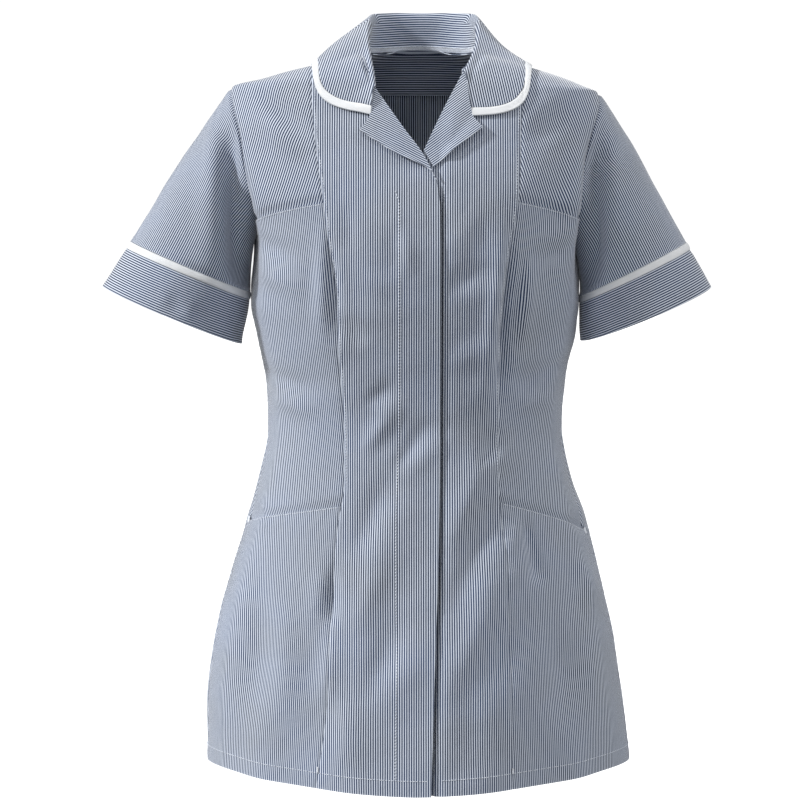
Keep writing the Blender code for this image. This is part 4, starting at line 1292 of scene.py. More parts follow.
def lapel(side):
    """A lapel, folded out over the front along the roll line. Its first row is its lowest."""
    roll = follow(LAPEL_ROLL[side], LAPEL_ROWS)
    edge = follow(LAPEL_EDGE[side], LAPEL_ROWS)
    share = np.linspace(0, 1, LAPEL_COLUMNS)[None, :, None]
    grid = roll[:, None, :] * (1 - share) + edge[:, None, :] * share
    top = follow([ROLL_LINE[side][-1], LAPEL_NOTCH[side], LAPEL_EDGE[side][-1]], LAPEL_COLUMNS)
    climb = np.linspace(0, 1, LAPEL_ROWS)[:, None]
    grid += ramp(climb, NOTCH_FROM, 1.0)[..., None] * (top - grid[-1])
    grid[-1] += unit(grid[-1] - grid[-2]) * GORGE_UNDERLAP
    rows = on_front(grid.reshape(-1, 2)).reshape(grid.shape)
    sink = lap_sink(rows) if side == LEFT else 0.0
    rise = LAPEL_RISE * np.sin(math.pi * share[..., 0]) ** 2 * ramp(climb, RISE_FROM, RISE_FULL)
    curl = LAPEL_CURL * ramp(share[..., 0], CURL_EDGE, 1.0) * ramp(climb, CURL_FROM, CURL_FULL)
    lift = LAYER_GAP + SOLID_DOUBLE + rise + curl
    panel(f"turned_lapel_{side_name(side)}", rows, sink + lift, seams="", wall=DOUBLE_CLOTH,
          lean=LAPEL_LEAN[side], pitch_scale=LAPEL_PITCH)


for side in (RIGHT, LEFT):
    lapel(side)

# %% [markdown]
# ### The collar's surface
# Six points at each place round the neck give the collar's path: neck seam, inside of the roll,
# its crest, outside of the roll, middle of the fall and edge. A smooth line runs through them.
# The fall is then rested on the cloth below it, because a collar lies on what it covers.

# %% The collar's surface
def around_neck(name, count):
    """One column of the collar stations, spread evenly over the count."""
    places = np.arange(len(COLLAR_STATIONS))
    values = [getattr(station, name) for station in COLLAR_STATIONS]
    return smooth(places, values)(np.linspace(0, places[-1], count))


def smoothed(field, times):
    """Evens a field of moves out over its grid."""
    for _ in range(times):
        for axis in (0, 1):
            ends = [(1, 1) if i == axis else (0, 0) for i in range(3)]
            wide = np.pad(field, ends, mode="edge")
            before, after = ((slice(0, -2), slice(2, None)) if axis == 0 else
                             ((slice(None), slice(0, -2)), (slice(None), slice(2, None))))
            field = field * 0.5 + (wide[before] + wide[after]) * 0.25
    return field


def outside_of(names):
    """The outer faces of finished panels, as one tree that finds the nearest point on them."""
    corners, faces = [], []
    for name in names:
        mesh = bpy.data.objects[name].data
        start, outer = len(corners), len(mesh.vertices) // 2
        corners += [vertex.co.copy() for vertex in mesh.vertices]
        faces += [[start + corner for corner in face.vertices] for face in mesh.polygons
                  if max(face.vertices) < outer]
    return BVHTree.FromPolygons(corners, faces)


print("stations round the neck:", len(COLLAR_STATIONS))
UNDER_COLLAR = outside_of(["centre_front_right", "centre_front_left", "shoulder_front_right",
                           "shoulder_front_left", "side_back_right", "side_back_left",
                           "centre_back"])
DEEPEST = 12.0
FALL_FROM = 0.5
REST_PASSES = 5
REST_EVENING = 2


def rested(points, steps, clearance):
    """The fall of the collar laid on the cloth below it: what sinks in is moved back out."""
    moved = points.copy()
    first = int(np.searchsorted(steps, FALL_FROM))
    for _ in range(REST_PASSES):
        short = np.zeros(points.shape)
        for place in np.ndindex(points.shape[:2]):
            if place[0] >= first:
                spot, normal = UNDER_COLLAR.find_nearest(moved[place] * METRES)[:2]
                away = (moved[place] - np.array(spot) / METRES) @ np.array(normal)
                if -DEEPEST < away < clearance:
                    short[place] = np.array(normal) * (clearance - away)
        moved += smoothed(short, REST_EVENING)
    return moved


# %% The collar's path
COLLAR_COLUMNS = 190
EDGE_EVENING = 40
EVEN_FROM = 6
EVEN_FULL = 30
STAND_IN = 1.5
STAND_UP = 1.6
ROLL_FROM = 0.3
ROLL_CREST = 0.36
ROLL_TO = 0.42
FALL_MIDDLE = 0.7
CREST_BACK = 0.4
CREST_FRONT = 0.6
FALL_OUT = 1.9
LEFT_DROP_FROM = 20
LEFT_DROP_FULL = 60


def collar_surface(count, steps):
    """The middle of the collar cloth: up the stand, over the roll and down to the edge."""
    neck_angle, neck_height = around_neck("neck_angle", count), around_neck("neck_height", count)
    neck = body(neck_angle, neck_height, -SOLID_WALL / 2)
    inward = -neck * np.array([1, 1, 0])
    neck = neck + unit(inward) * STAND_IN + np.array([0, 0, STAND_UP])
    roll = np.stack([around_neck(n, count) for n in ("roll_x", "roll_y", "roll_height")], -1)
    edge_angle, edge_height = around_neck("edge_angle", count), around_neck("edge_height", count)
    edge = body(edge_angle, edge_height, LAYER_GAP + SOLID_DOUBLE)
    from_end = np.minimum(np.arange(count), np.arange(count)[::-1]) * (COLLAR_COLUMNS / count)
    even = ramp(from_end, EVEN_FROM, EVEN_FULL)[:, None]
    edge += (smoothed(edge[None], EDGE_EVENING)[0] - edge) * even
    outward = unit((edge - roll) * np.array([1, 1, 0]))
    up = np.array([0, 0, 1.0])
    inner_roll = roll - outward * ROLL_RADIUS * CREST_BACK - up * ROLL_RADIUS
    top = roll + outward * ROLL_RADIUS * CREST_FRONT
    outer_roll = roll + outward * ROLL_RADIUS * FALL_OUT - up * ROLL_RADIUS
    dropped = LEFT_FALL_DROP * ramp(roll[:, 0], LEFT_DROP_FROM, LEFT_DROP_FULL)
    bulge = (FALL_BULGE - dropped)[:, None]
    middle = (outer_roll + edge) / 2 + (outward + up) * bulge
    knots = np.stack([neck, inner_roll, top, outer_roll, middle, edge])
    places = [0, ROLL_FROM, ROLL_CREST, ROLL_TO, FALL_MIDDLE, 1.0]
    return spline(knots, places, steps)


def spline(knots, places, steps):
    """A smooth line through knots, sampled at the steps. Each knot is a whole row of points."""
    places = np.asarray(places, float)
    slopes = np.gradient(knots, places, axis=0)
    made = []
    for step in steps:
        i = int(np.clip(np.searchsorted(places, step) - 1, 0, len(places) - 2))
        width = places[i + 1] - places[i]
        t = (step - places[i]) / width
        made.append(
            (1 + 2 * t) * (1 - t) ** 2 * knots[i]
            + t * (1 - t) ** 2 * width * slopes[i]
            + t * t * (3 - 2 * t) * knots[i + 1]
            + t * t * (t - 1) * width * slopes[i + 1]
        )
    return np.stack(made)


def sheet_normals(grid, tube=False):
    """The direction out of a grid of points, worked out from its neighbours."""
    if tube:
        across = np.roll(grid, -1, axis=1) - np.roll(grid, 1, axis=1)
    else:
        across = np.gradient(grid, axis=1)
    along = np.gradient(grid, axis=0)
    return unit(np.cross(across, along))


# %% [markdown]
# ### The collar and its white band
# The trim is sewn to the edge and shows 9 mm wide all round, so its rows are spaced by their
# real distance from the edge. It swells a little between its sides, as folded tape does, and
# the cloth dips where the two are joined.

# %% Collar and its white band
FALL_LEAN = {RIGHT: math.radians(15.0), LEFT: math.radians(-12.0)}
STAND_TOP = 0.22
TRIM_SHOWN = 9.0
TRIM_GAP = 0.3
TRIM_SWELL = 0.45
JOIN_DIP = 0.35
JOIN_WIDTH = 0.8
END_GAP = 0.3
REST_CLEAR = 0.7
FALL_LENGTH = 62
FALL_ROWS = 160
BACK_FROM = 15
BACK_FULL = 50


def collar_stripes(grid, down, steps):
    """Across the stripes: level round the back and the stand, and steep where the fall shows."""
    x, y, z = grid[..., 0], grid[..., 1], grid[..., 2]
    lean = np.where(x < 0, FALL_LEAN[RIGHT], FALL_LEAN[LEFT])
    steep = x * np.cos(lean) - z * np.sin(lean)
    steep = np.where(x < 0, -steep, steep)
    round_back = ramp(y, BACK_FROM, BACK_FULL)
    stand = (steps < STAND_TOP).astype(float)[:, None] + 0 * y
    share = np.maximum(round_back, stand)
    return steep + (down - steep) * share


def trimmed_fall(rows, cloth_count, trim_count):
    """Rows down the fall, with those of the trim within its width of the edge everywhere."""
    along = step_lengths(rows, 0)
    columns = []
    for column in range(rows.shape[1]):
        end = along[-1, column]
        places = np.concatenate([np.linspace(0, end - TRIM_SHOWN, cloth_count),
                                 np.linspace(end - TRIM_SHOWN + TRIM_GAP, end, trim_count)])
        columns.append([np.interp(places, along[:, column], rows[:, column, axis])
                        for axis in range(3)])
    return np.array(columns).transpose(2, 0, 1)


def collar_pieces():
    """The collar, and the white trim along its edge."""
    trim_share = TRIM_SHOWN / FALL_LENGTH
    gap_share = TRIM_GAP / FALL_LENGTH
    cloth_steps = np.concatenate([np.linspace(0, STAND_TOP - 0.001, 10),
                                  np.linspace(STAND_TOP, ROLL_FROM, 5),
                                  np.linspace(ROLL_FROM, ROLL_TO, 9)[1:],
                                  np.linspace(ROLL_TO, 1 - trim_share, 22)[1:]])
    trim_steps = np.linspace(1 - trim_share + gap_share, 1.0, 8)
    steps = np.concatenate([cloth_steps, trim_steps])
    upper = collar_surface(COLLAR_COLUMNS, [step for step in steps if step < ROLL_TO])
    fall = collar_surface(COLLAR_COLUMNS, np.linspace(ROLL_TO, 1.0, FALL_ROWS))
    grid = np.concatenate([upper, trimmed_fall(fall, len(cloth_steps) - len(upper),
                                               len(trim_steps))])
    for end, next_in in ((0, 1), (-1, -2)):
        grid[:, end] += unit(grid[:, next_in] - grid[:, end]) * END_GAP
    grid = rested(grid, steps, DOUBLE_CLOTH / 2 + REST_CLEAR)
    normals = sheet_normals(grid)
    split = len(cloth_steps)
    over, down = step_lengths(grid, 1), step_lengths(grid, 0)
    half = np.full(grid.shape[:2], DOUBLE_CLOTH / 2)
    face = grid + normals * half[..., None]
    cloth_map = np.stack([collar_stripes(face, down, steps), over], axis=-1)
    cloth, trim = slice(0, split), slice(split, None)
    join = np.abs(down - down[split])
    half -= JOIN_DIP * np.exp(-((join / JOIN_WIDTH) ** 2))
    swell = np.zeros(grid.shape[:2])
    swell[trim] = TRIM_SWELL * np.sin(math.pi * np.linspace(0, 1, len(trim_steps)))[:, None]
    edge = np.minimum.reduce([down, down[-1:] - down, over, over[:, -1:] - over])
    for name, part, finish in (("collar_cloth", cloth, STRIPED), ("collar_band", trim, TAPE)):
        outer = grid[part] + normals[part] * (half + swell)[part][..., None]
        inner = grid[part] - normals[part] * half[part][..., None]
        shell(name, outer, inner, cloth_map[part], edge[part], finish)


collar_pieces()

# %% [markdown]
# ## Sleeves
# A sleeve is a tube from the armhole to the white band. Its stripes follow the arm. The cuff is
# a turned-up band below it, cut across the cloth, so its stripes go round. Near the armhole the
# cloth falls in under the arm, which is the deep soft fold in the photograph. The sleeves sit
# 4.4 mm nearer the body than in the solids, because the photograph shows no gap under the arms.

# %% Rings and stripes of a sleeve
STRIPE_START = 75.0
ARM_SLANT = {RIGHT: 28.0, LEFT: -27.0}
ARM_CLOSE = 4.4
ARM_LEVELS = 70


def cuff_ring(ring, turns):
    """An oval ring of the sleeve, level with the sleeve's hem."""
    outer = np.array([ring.outer_x, ARM_FORWARD, ring.outer_height])
    close = ARM_CLOSE if ring.inner_x < 0 else -ARM_CLOSE
    inner = np.array([ring.inner_x + close, ARM_FORWARD, ring.inner_height])
    centre, reach = (outer + inner) / 2, (outer - inner) / 2
    turns = np.radians(turns)[:, None]
    return centre + reach * np.cos(turns) - np.array([0, ring.depth, 0]) * np.sin(turns)


def outward(grid):
    """The direction out of a tube whose first and last columns meet."""
    normals = sheet_normals(grid[:, :-1], tube=True)
    middle = len(grid) // 2
    if (normals[middle] * (grid[middle, :-1] - grid[middle, :-1].mean(axis=0))).sum() < 0:
        normals = -normals
    return np.concatenate([normals, normals[:, :1]], axis=1)


def sleeve_stripes(grid, turns, side):
    """Across and along the stripes of a sleeve, which all run one way down the arm."""
    slant = math.radians(ARM_SLANT[side])
    arm = np.array([-math.sin(slant), 0, -math.cos(slant)])
    aside = np.array([math.cos(slant), 0, -math.sin(slant)])
    along = grid @ arm
    levels = np.linspace(along.min(), along.max(), ARM_LEVELS)
    rings = np.empty((len(levels), len(turns), 3))
    for column in range(len(turns)):
        place, points = along[:, column], grid[:, column]
        for axis in range(3):
            rings[:, column, axis] = np.interp(levels, place, points[:, axis])
        step = (points[-1] - points[0]) / (place[-1] - place[0])
        above = np.minimum(levels - place[0], 0)[:, None]
        below = np.maximum(levels - place[-1], 0)[:, None]
        rings[:, column] += step * (above + below)
    zero = int(np.interp(STRIPE_START, turns, np.arange(len(turns))))
    across = step_lengths(rings, 1)
    first = across[:, zero] - rings[:, zero] @ aside
    across -= first[:, None]
    found = np.stack([np.interp(along[:, c], levels, across[:, c]) for c in range(len(turns))],
                     axis=1)
    return np.stack([found, along], axis=-1)


# %% [markdown]
# ### Sleeves, white bands and cuffs
# The sleeve's cloth rises from the armhole seam, bulges most along its top, and lies flat at the
# white band. Its rows lie closer together at both ends, where it bends. The band stands a little
# proud of the cloth, and the cuff's lower edge sags under its own weight.

# %% Sleeves, white bands and cuffs
SLEEVE_SINK = 1.1
SLEEVE_RISE = 3.0
CUFF_SAG = {RIGHT: 0.8, LEFT: 3.4}
JUST_INSIDE = 0.02
ARMHOLE_GAP = 0.4
BULGE_BELOW = 0.7
BULGE_MORE = 0.3
NEAR_ARMHOLE = np.array([0, 0.006, 0.014, 0.026, 0.045])
NEAR_BAND = np.array([0.985, 0.993, 0.998])
RISE_SHARE = 0.016
RISE_FADE_FROM = 0.3
RISE_FADE_TO = 0.9
FOLDS_FULL = 0.08
FOLDS_FADE = 0.93
BAND_OUT = 0.4
BAND_SWELL = 0.5
CUFF_SWELL = 0.15
BAND_EDGE_DIP = 0.3
BAND_EDGE = 0.05
BAND_FOLDS = 0.6


def sleeve(side):
    """Sleeve, the white trim round it, and its turned cuff."""
    turns = np.linspace(-180, 180, 2 * ARMHOLE_STEPS + 1)
    hole = armhole(side, turns)
    start = body(hole[:, 0], hole[:, 1], -SEAM_DIP - SLEEVE_SINK)
    tip = SHOULDER_TIP[side]
    middle = np.array([side * 90, (tip + ARMPIT) / 2])
    inward = unit(body(*(hole + JUST_INSIDE * (middle - hole)).T, -SEAM_DIP) - start)
    top, low, hem = (cuff_ring(ring, turns) for ring in SLEEVE_RINGS[side])
    hem = hem - np.array([0, 0, CUFF_SAG[side]]) * np.abs(np.sin(np.radians(turns)))[:, None]
    start = start + inward * ARMHOLE_GAP
    swell = unit(unit(top - top.mean(axis=0)) + unit(start - start.mean(axis=0)))
    fuller = np.maximum(np.cos(np.radians(turns)) * BULGE_MORE + BULGE_BELOW, 0)
    swell *= SLEEVE_BULGE * fuller[:, None]
    shares = np.concatenate([NEAR_ARMHOLE, np.linspace(0.07, 0.975, 40), NEAR_BAND])
    grid = np.stack([start + (top - start) * t + swell * 4 * t * (1 - t) for t in shares])
    normals = outward(grid)
    rise = SLEEVE_RISE * (1 - np.exp(-((shares / RISE_SHARE) ** 2)))
    rise = rise * (1 - ramp(shares, RISE_FADE_FROM, RISE_FADE_TO))
    fade = ramp(shares, 0.0, FOLDS_FULL) * (1 - ramp(shares, FOLDS_FADE, 1.0))
    lift = rise[:, None] + relief(grid) * fade[:, None]
    grid = grid + normals * lift[..., None]
    normals = outward(grid)
    inner = grid - normals * CLOTH
    turned = -normals[0]
    back = np.minimum((turned * inward).sum(axis=-1, keepdims=True), 0)
    inner[0] = grid[0] + unit(turned - back * inward) * CLOTH
    down = step_lengths(grid, 0)
    label = side_name(side)
    edge = np.minimum(down, down[-1:] - down)
    cloth_map = sleeve_stripes(grid, turns, side)
    shell(f"sleeve_cloth_{label}", grid, inner, cloth_map, edge, tube=True)
    band(f"sleeve_band_{label}", top, low, np.linspace(0.02, 0.96, 8), BAND_OUT, BAND_SWELL,
         TAPE)
    band(f"turned_cuff_{label}", low, hem, np.linspace(0.0, 1, 20), 0.0, CUFF_SWELL, STRIPED)


def band(name, first, last, shares, out, swell, finish):
    """A band round the sleeve between two rings, a little rounded between its edges."""
    grid = np.stack([first + (last - first) * t for t in shares])
    normals = outward(grid)
    place = (shares - shares[0]) / (shares[-1] - shares[0])
    dip = BAND_EDGE_DIP * (np.exp(-((place / BAND_EDGE) ** 2)))
    round_out = swell * np.sin(math.pi * place) - dip
    soft = relief(grid) * ramp(np.sin(math.pi * place), 0.0, BAND_FOLDS)[:, None] * BAND_FOLDS
    lift = out + round_out[:, None] + soft
    outer = grid + normals * lift[..., None]
    inner = outer - normals * (DOUBLE_CLOTH + round_out[:, None, None])
    over, down = step_lengths(outer, 1), step_lengths(outer, 0)
    edge = np.minimum(down, down[-1:] - down)
    shell(name, outer, inner, np.stack([down, over], axis=-1), edge, finish, tube=True)


for side in (RIGHT, LEFT):
    sleeve(side)

# %% [markdown]
# ## The stitching
# A lockstitch repeats the same short thread every 3 mm along a seam, so a Geometry Nodes tree
# lays it: it spaces points along a line, puts one small stitch on each and turns it along the
# line. The same tree makes the dense bars that stop the pocket mouths and hems from tearing.

# %% A tree that lays stitches
SHORTEST = 0.86
LONGEST = 1.08
STITCH_SEED = 7


def stitch_tree():
    tree = bpy.data.node_groups.new("lay_stitches", "GeometryNodeTree")
    made = {}
    for name, kind in (("Line", "Geometry"), ("Pitch", "Float"), ("Length", "Float"),
                       ("Width", "Float"), ("Seed", "Int"), ("Thread", "Material")):
        made[name] = tree.interface.new_socket(name=name, in_out="INPUT",
                                               socket_type=f"NodeSocket{kind}")
    tree.interface.new_socket(name="Stitches", in_out="OUTPUT", socket_type="NodeSocketGeometry")
    given = add(tree, "NodeGroupInput")
    points = add(tree, "GeometryNodeResampleCurve", [("Curve", given.outputs["Line"]),
                                                     ("Length", given.outputs["Pitch"])],
                 mode="LENGTH")
    bead = add(tree, "GeometryNodeMeshUVSphere", [("Segments", 6), ("Rings", 4), ("Radius", 0.5)])
    along = add(tree, "GeometryNodeInputTangent")
    turn = add(tree, "FunctionNodeAlignRotationToVector", [("Vector", along.outputs[0])],
               axis="Z")
    uneven = add(tree, "FunctionNodeRandomValue", [(2, SHORTEST), (3, LONGEST),
                                                   ("Seed", given.outputs["Seed"])],
                 data_type="FLOAT")
    long = add(tree, "ShaderNodeMath", [(0, given.outputs["Length"]), (1, uneven.outputs[1])],
               operation="MULTIPLY")
    size = add(tree, "ShaderNodeCombineXYZ", [("X", given.outputs["Width"]),
                                              ("Y", given.outputs["Width"]),
                                              ("Z", long.outputs[0])])
    laid = add(tree, "GeometryNodeInstanceOnPoints", [("Points", points.outputs["Curve"]),
                                                      ("Instance", bead.outputs["Mesh"]),
                                                      ("Rotation", turn.outputs["Rotation"]),
                                                      ("Scale", size.outputs["Vector"])])
    real = add(tree, "GeometryNodeRealizeInstances", [("Geometry", laid.outputs["Instances"])])
    thread = add(tree, "GeometryNodeSetMaterial", [("Geometry", real.outputs["Geometry"]),
                                                   ("Material", given.outputs["Thread"])])
    add(tree, "NodeGroupOutput", [("Stitches", thread.outputs["Geometry"])])
    return tree, {name: socket.identifier for name, socket in made.items()}


STITCH_TREE, STITCH_INPUT = stitch_tree()


Stitch = namedtuple("Stitch", "pitch length width")


def stitches(name, lines, stitch):
    """Lays stitches along lines of points, in metres, and keeps the result as a plain mesh."""
    curve = bpy.data.curves.new(f"{name}_line", "CURVE")
    curve.dimensions = "3D"
    for line in lines:
        path = curve.splines.new("POLY")
        path.points.add(len(line) - 1)
        path.points.foreach_set("co", np.c_[line, np.ones(len(line))].ravel())
    laid = bpy.data.objects.new(f"{name}_line", curve)
    bpy.context.scene.collection.objects.link(laid)
    modifier = laid.modifiers.new("stitches", "NODES")
    modifier.node_group = STITCH_TREE
    for socket, value in (("Pitch", stitch.pitch), ("Length", stitch.length),
                          ("Width", stitch.width), ("Seed", STITCH_SEED), ("Thread", THREAD)):
        modifier[STITCH_INPUT[socket]] = value
    bpy.context.view_layer.update()
    shown = laid.evaluated_get(bpy.context.evaluated_depsgraph_get())
    mesh = bpy.data.meshes.new_from_object(shown)
    bpy.data.objects.remove(laid)
    mesh.name = name
    mesh.shade_smooth()
    made = bpy.data.objects.new(name, mesh)
    bpy.context.scene.collection.objects.link(made)
    print(f"{name}: {len(mesh.polygons)} faces, {len(mesh.materials)} material")
    return made


# %% [markdown]
# ### Where the stitching runs
# White topstitching shows down the front lap, round the hem, below the pocket mouths and beside
# the princess seams. In front those seams show it only above the waist.

# %% Where the stitching runs
STITCH_LIFT = 0.18
FLY_MORE = 0.05
FLY_POINTS = 260
HEM_START = 3
HEM_STOP = 0.6
HEM_POINTS = 620
MOUTH_STITCH = 1.3
MOUTH_POINTS = 70
HALF_BODY = 200
FRONT_FLATNESS = 1.6
SEAM_STITCH_TOP = -40
SEAM_STITCH_LOW = -430
SEAM_POINTS = 330
HEM_STITCH = 16.0
EDGE_STITCH = 2.2
FLY_STITCH = [Point(-20.5, -144.7), Point(-18.6, -150), Point(-17.1, -156), Point(-17.2, -249),
              Point(-17.2, -352), Point(-20.6, -489), Point(-20.6, -537), Point(-19.4, -609),
              Point(-20.6, -669), Point(-21.0, -718)]


def on_cloth(angles, heights, lift=STITCH_LIFT):
    return body(angles, heights, lift) * METRES


def fly_line():
    path = follow(FLY_STITCH, FLY_POINTS)
    return on_cloth(angle_at(path[:, 0], path[:, 1]), path[:, 1], STITCH_LIFT + FLY_MORE)


def hem_line():
    """Round the hem, from one side of the lap edge to the other."""
    height = HEM + HEM_STITCH
    lap = float(angle_at(LAP_X(height), height))
    over = np.linspace(-360 + lap + HEM_START, lap - HEM_STOP, HEM_POINTS)
    over = np.where(over < -180, over + 360, over)
    return on_cloth(over, np.full(HEM_POINTS, height))


def mouth_line(side, table):
    """Just below the edge of a pocket mouth, where the panel with that edge lies on top."""
    mouth = table[side]
    start = float(angle_at(FRONT_SEAM[side](mouth.princess_height), mouth.princess_height))
    end = float(SIDE_ANGLE[side](mouth.side_height))
    share = np.linspace(0.03, 0.97, MOUTH_POINTS)
    edge = mouth.princess_height + (mouth.side_height - mouth.princess_height) * share
    heights = edge - MOUTH_STITCH
    return on_cloth(start + (end - start) * share, heights)


def princess_line(side, back=False):
    """Beside a princess seam, on the centre panel. In front it starts at the waist."""
    heights = np.linspace(HEM + 3 if back else SEAM_STITCH_LOW, SEAM_STITCH_TOP, SEAM_POINTS)
    points = seam_points(heights, (BACK_SEAM if back else FRONT_SEAM)[side], back)
    inward = (-side if not back else side) * np.degrees(EDGE_STITCH / HALF_BODY) * FRONT_FLATNESS
    return on_cloth(points[:, 0] + inward, heights)


seam_lines = [princess_line(side, back) for side in (RIGHT, LEFT) for back in (False, True)]
mouth_lines = [mouth_line(side, table) for side in (RIGHT, LEFT)
               for table in (CHEST_EDGE, HIP_EDGE)]
THREADS = [
    stitches("fly_stitches", [fly_line()], Stitch(0.0031, 0.0022, 0.0009)),
    stitches("hem_stitches", [hem_line()], Stitch(0.0030, 0.0024, 0.0007)),
    stitches("seam_stitches", seam_lines, Stitch(0.0030, 0.0024, 0.0005)),
    stitches("pocket_stitches", mouth_lines, Stitch(0.0028, 0.0023, 0.0006)),
]

# %% [markdown]
# ### Bar tacks and the neck's overlock
# A bar tack is a tight zigzag a few millimetres long. The raw edge at the neck seam is closed by
# an overlock, a loose zigzag. Both are zigzag lines for the same tree.

# %% Bar tacks and overlock
Tack = namedtuple("Tack", "x height length slant")
TACKS = [Tack(-46, -88, 5, 30), Tack(-171, -478, 6, 80), Tack(173, -489, 6, 100),
         Tack(-98, -719, 5, 90), Tack(95.3, -720, 5, 90)]
TACK_POINTS = 22
TACK_HALF_WIDTH = 0.9
TACK_MORE = 0.2
OVERLOCK_LIFT = 0.35
OVERLOCK_ENDS = (-262, -98)
OVERLOCK_COUNT = 700
OVERLOCK_STEPS = np.array([0.004, 0.040])


def tack_line(tack):
    run = np.linspace(0, tack.length, TACK_POINTS)
    even = np.arange(TACK_POINTS) % 2 == 0
    side_step = np.where(even, -TACK_HALF_WIDTH, TACK_HALF_WIDTH)
    turn = math.radians(tack.slant)
    x = tack.x + run * math.cos(turn) - side_step * math.sin(turn)
    height = tack.height + run * math.sin(turn) + side_step * math.cos(turn)
    return on_cloth(angle_at(x, height), height, STITCH_LIFT + TACK_MORE)


def overlock_line():
    """A zigzag over the lower edge of the stand, inside the back neck."""
    grid = collar_surface(OVERLOCK_COUNT, OVERLOCK_STEPS)
    face = grid + sheet_normals(grid) * (DOUBLE_CLOTH / 2 + OVERLOCK_LIFT)
    turn = np.arange(OVERLOCK_COUNT) % 2 == 0
    line = np.where(turn[:, None], face[0], face[1])
    angles = around_neck("neck_angle", OVERLOCK_COUNT)
    low, high = OVERLOCK_ENDS
    return line[(angles < high) & (angles > low)] * METRES


tack_lines = [tack_line(tack) for tack in TACKS]
THREADS.append(stitches("bar_tacks", tack_lines, Stitch(0.0009, 0.0011, 0.0005)))
THREADS.append(stitches("neck_overlock", [overlock_line()], Stitch(0.0010, 0.0014, 0.0006)))

# %% [markdown]
# ## What rides and replaces
# The tunic has no joints, so every piece rides on the one body. Each piece of cloth stands for
# its own solid, which is hidden. The cut is that of what shows, measured on the grid before the
# seams dip.

# %% Riding, and hiding the solids
BODY_PIECES = {
    "centre_front_right": ("front_centre_right", ["shoulder_front_right", "centre_back"]),
    "centre_front_left": ("front_centre_left", ["shoulder_front_left", "centre_back"]),
    "shoulder_front_right": ("front_yoke_right", ["side_back_right"]),
    "shoulder_front_left": ("front_yoke_left", ["side_back_left"]),
    "side_front_right": ("front_side_right", ["shoulder_front_right"]),
    "side_front_left": ("front_side_left", ["shoulder_front_left"]),
    "hip_front_right": ("front_hip_right", ["side_front_right"]),
    "hip_front_left": ("front_hip_left", ["side_front_left"]),
    "centre_back": ("back_centre", ["side_back_right", "side_back_left"]),
    "side_back_right": ("back_side_right", ["centre_back"]),
    "side_back_left": ("back_side_left", ["centre_back"]),
    "back_neck_band": ("back_neck_facing", ["centre_back"]),
    "collar_cloth": ("collar", ["centre_back"]),
    "turned_lapel_right": ("lapel_right", ["centre_front_right"]),
    "turned_lapel_left": ("lapel_left", ["centre_front_left"]),
    "sleeve_cloth_right": ("sleeve_right", ["shoulder_front_right", "side_back_right"]),
    "sleeve_cloth_left": ("sleeve_left", ["shoulder_front_left", "side_back_left"]),
    "turned_cuff_right": ("cuff_right", ["sleeve_cloth_right"]),
    "turned_cuff_left": ("cuff_left", ["sleeve_cloth_left"]),
}
TRIM_PIECES = {
    "collar_band": ("collar_piping", ["collar_cloth"]),
    "sleeve_band_right": ("cuff_piping_right", ["sleeve_cloth_right"]),
    "sleeve_band_left": ("cuff_piping_left", ["sleeve_cloth_left"]),
}
LEAST_CUT = 0.01
for slot_name, pieces in (("striped_cloth", BODY_PIECES), ("white_trim", TRIM_PIECES)):
    for name, (node, hangs_from) in pieces.items():
        piece = bpy.data.objects[name]
        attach(piece, "root")
        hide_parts(node)
        width, length, area = CUT[name]
        width, length = max(width, LEAST_CUT), max(length, LEAST_CUT)
for thread in THREADS:
    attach(thread, "root")
print("pieces of cloth:", len(CUT))

# %% [markdown]
# ## Floor, light and camera
# The photograph is a studio picture on white. Its main light comes from the viewer's left and
# grazes the front, so the wearer's left side is greyer. A weak light from above and in front and
# a third from the other side open the shadows, and the white room fills the rest. The camera
# looks from the front, a little down. The floor lies well below, because the tunic hangs.

# %% Floor, light and camera
FLOOR_HEIGHT = -1.15
FLOOR_SIZE = 60.0
PAPER_GLOW = 0.35
ROOM_SEEN = 1.05
ROOM_LIGHT = 0.42
CAMERA_PLACE = (-0.0123, -2.3, -0.2002)
CAMERA_TILT = 3.94
LENS = 100
SENSOR = 36
Sun = namedtuple("Sun", "name tip turn strength spread")
SUNS = [Sun("key", 60, -73, 3.05, 7), Sun("front", 32, -30, 0.54, 12),
        Sun("fill", 58, 74, 0.82, 20)]


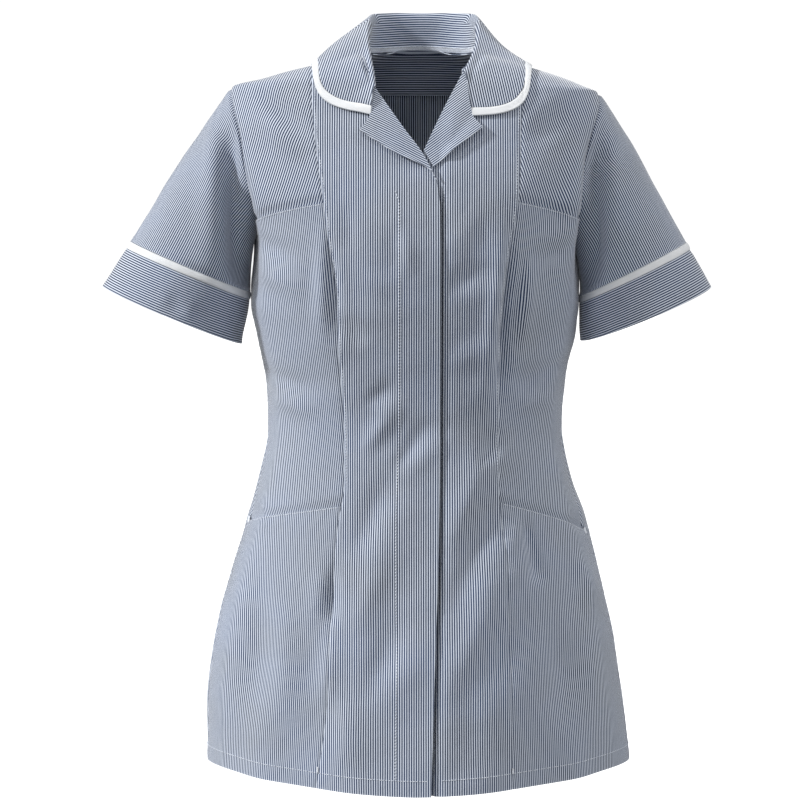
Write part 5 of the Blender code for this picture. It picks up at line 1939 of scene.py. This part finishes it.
def studio_floor():
    mesh = bpy.data.meshes.new("studio_floor")
    half = FLOOR_SIZE / 2
    mesh.from_pydata([(-half, -half, FLOOR_HEIGHT), (half, -half, FLOOR_HEIGHT),
                      (half, half, FLOOR_HEIGHT), (-half, half, FLOOR_HEIGHT)], [],
                     [(0, 1, 2, 3)])
    floor = bpy.data.objects.new("studio_floor", mesh)
    made, _, shader = empty_material("matt_white_paper")
    shader.inputs["Base Color"].default_value = linear("FAFAFA")
    shader.inputs["Roughness"].default_value = 0.9
    shader.inputs["Emission Color"].default_value = linear("FFFFFF")
    shader.inputs["Emission Strength"].default_value = PAPER_GLOW
    mesh.materials.append(made)
    bpy.context.scene.collection.objects.link(floor)
    floor.visible_diffuse = False
    floor.visible_glossy = False


def sun_light(sun):
    light = bpy.data.lights.new(sun.name, "SUN")
    light.energy = sun.strength
    light.angle = math.radians(sun.spread)
    made = bpy.data.objects.new(sun.name, light)
    made.rotation_euler = (math.radians(sun.tip), 0, math.radians(sun.turn))
    bpy.context.scene.collection.objects.link(made)


def white_room(seen, lit):
    """A world that is white to the eye and lights the scene softly."""
    world = bpy.data.worlds.new("white_room")
    world.use_nodes = True
    tree = world.node_tree
    tree.nodes.clear()
    ray = add(tree, "ShaderNodeLightPath")
    level = add(tree, "ShaderNodeMapRange", [("Value", ray.outputs["Is Camera Ray"]),
                                             ("To Min", lit), ("To Max", seen)])
    glow = add(tree, "ShaderNodeBackground", [("Color", linear("FFFFFF")),
                                              ("Strength", level.outputs["Result"])])
    add(tree, "ShaderNodeOutputWorld", [("Surface", glow.outputs[0])])
    bpy.context.scene.world = world


def set_camera():
    camera = bpy.data.cameras.new("camera")
    camera.lens = LENS
    camera.sensor_width = SENSOR
    made = bpy.data.objects.new("camera", camera)
    made.location = CAMERA_PLACE
    made.rotation_euler = (math.radians(90 - CAMERA_TILT), 0, 0)
    bpy.context.scene.collection.objects.link(made)
    bpy.context.scene.camera = made


studio_floor()
white_room(ROOM_SEEN, ROOM_LIGHT)
for sun in SUNS:
    sun_light(sun)
set_camera()
bpy.context.scene.view_settings.view_transform = "Standard"

print("lights:", [sun.name for sun in SUNS], "lens, in mm:", LENS)
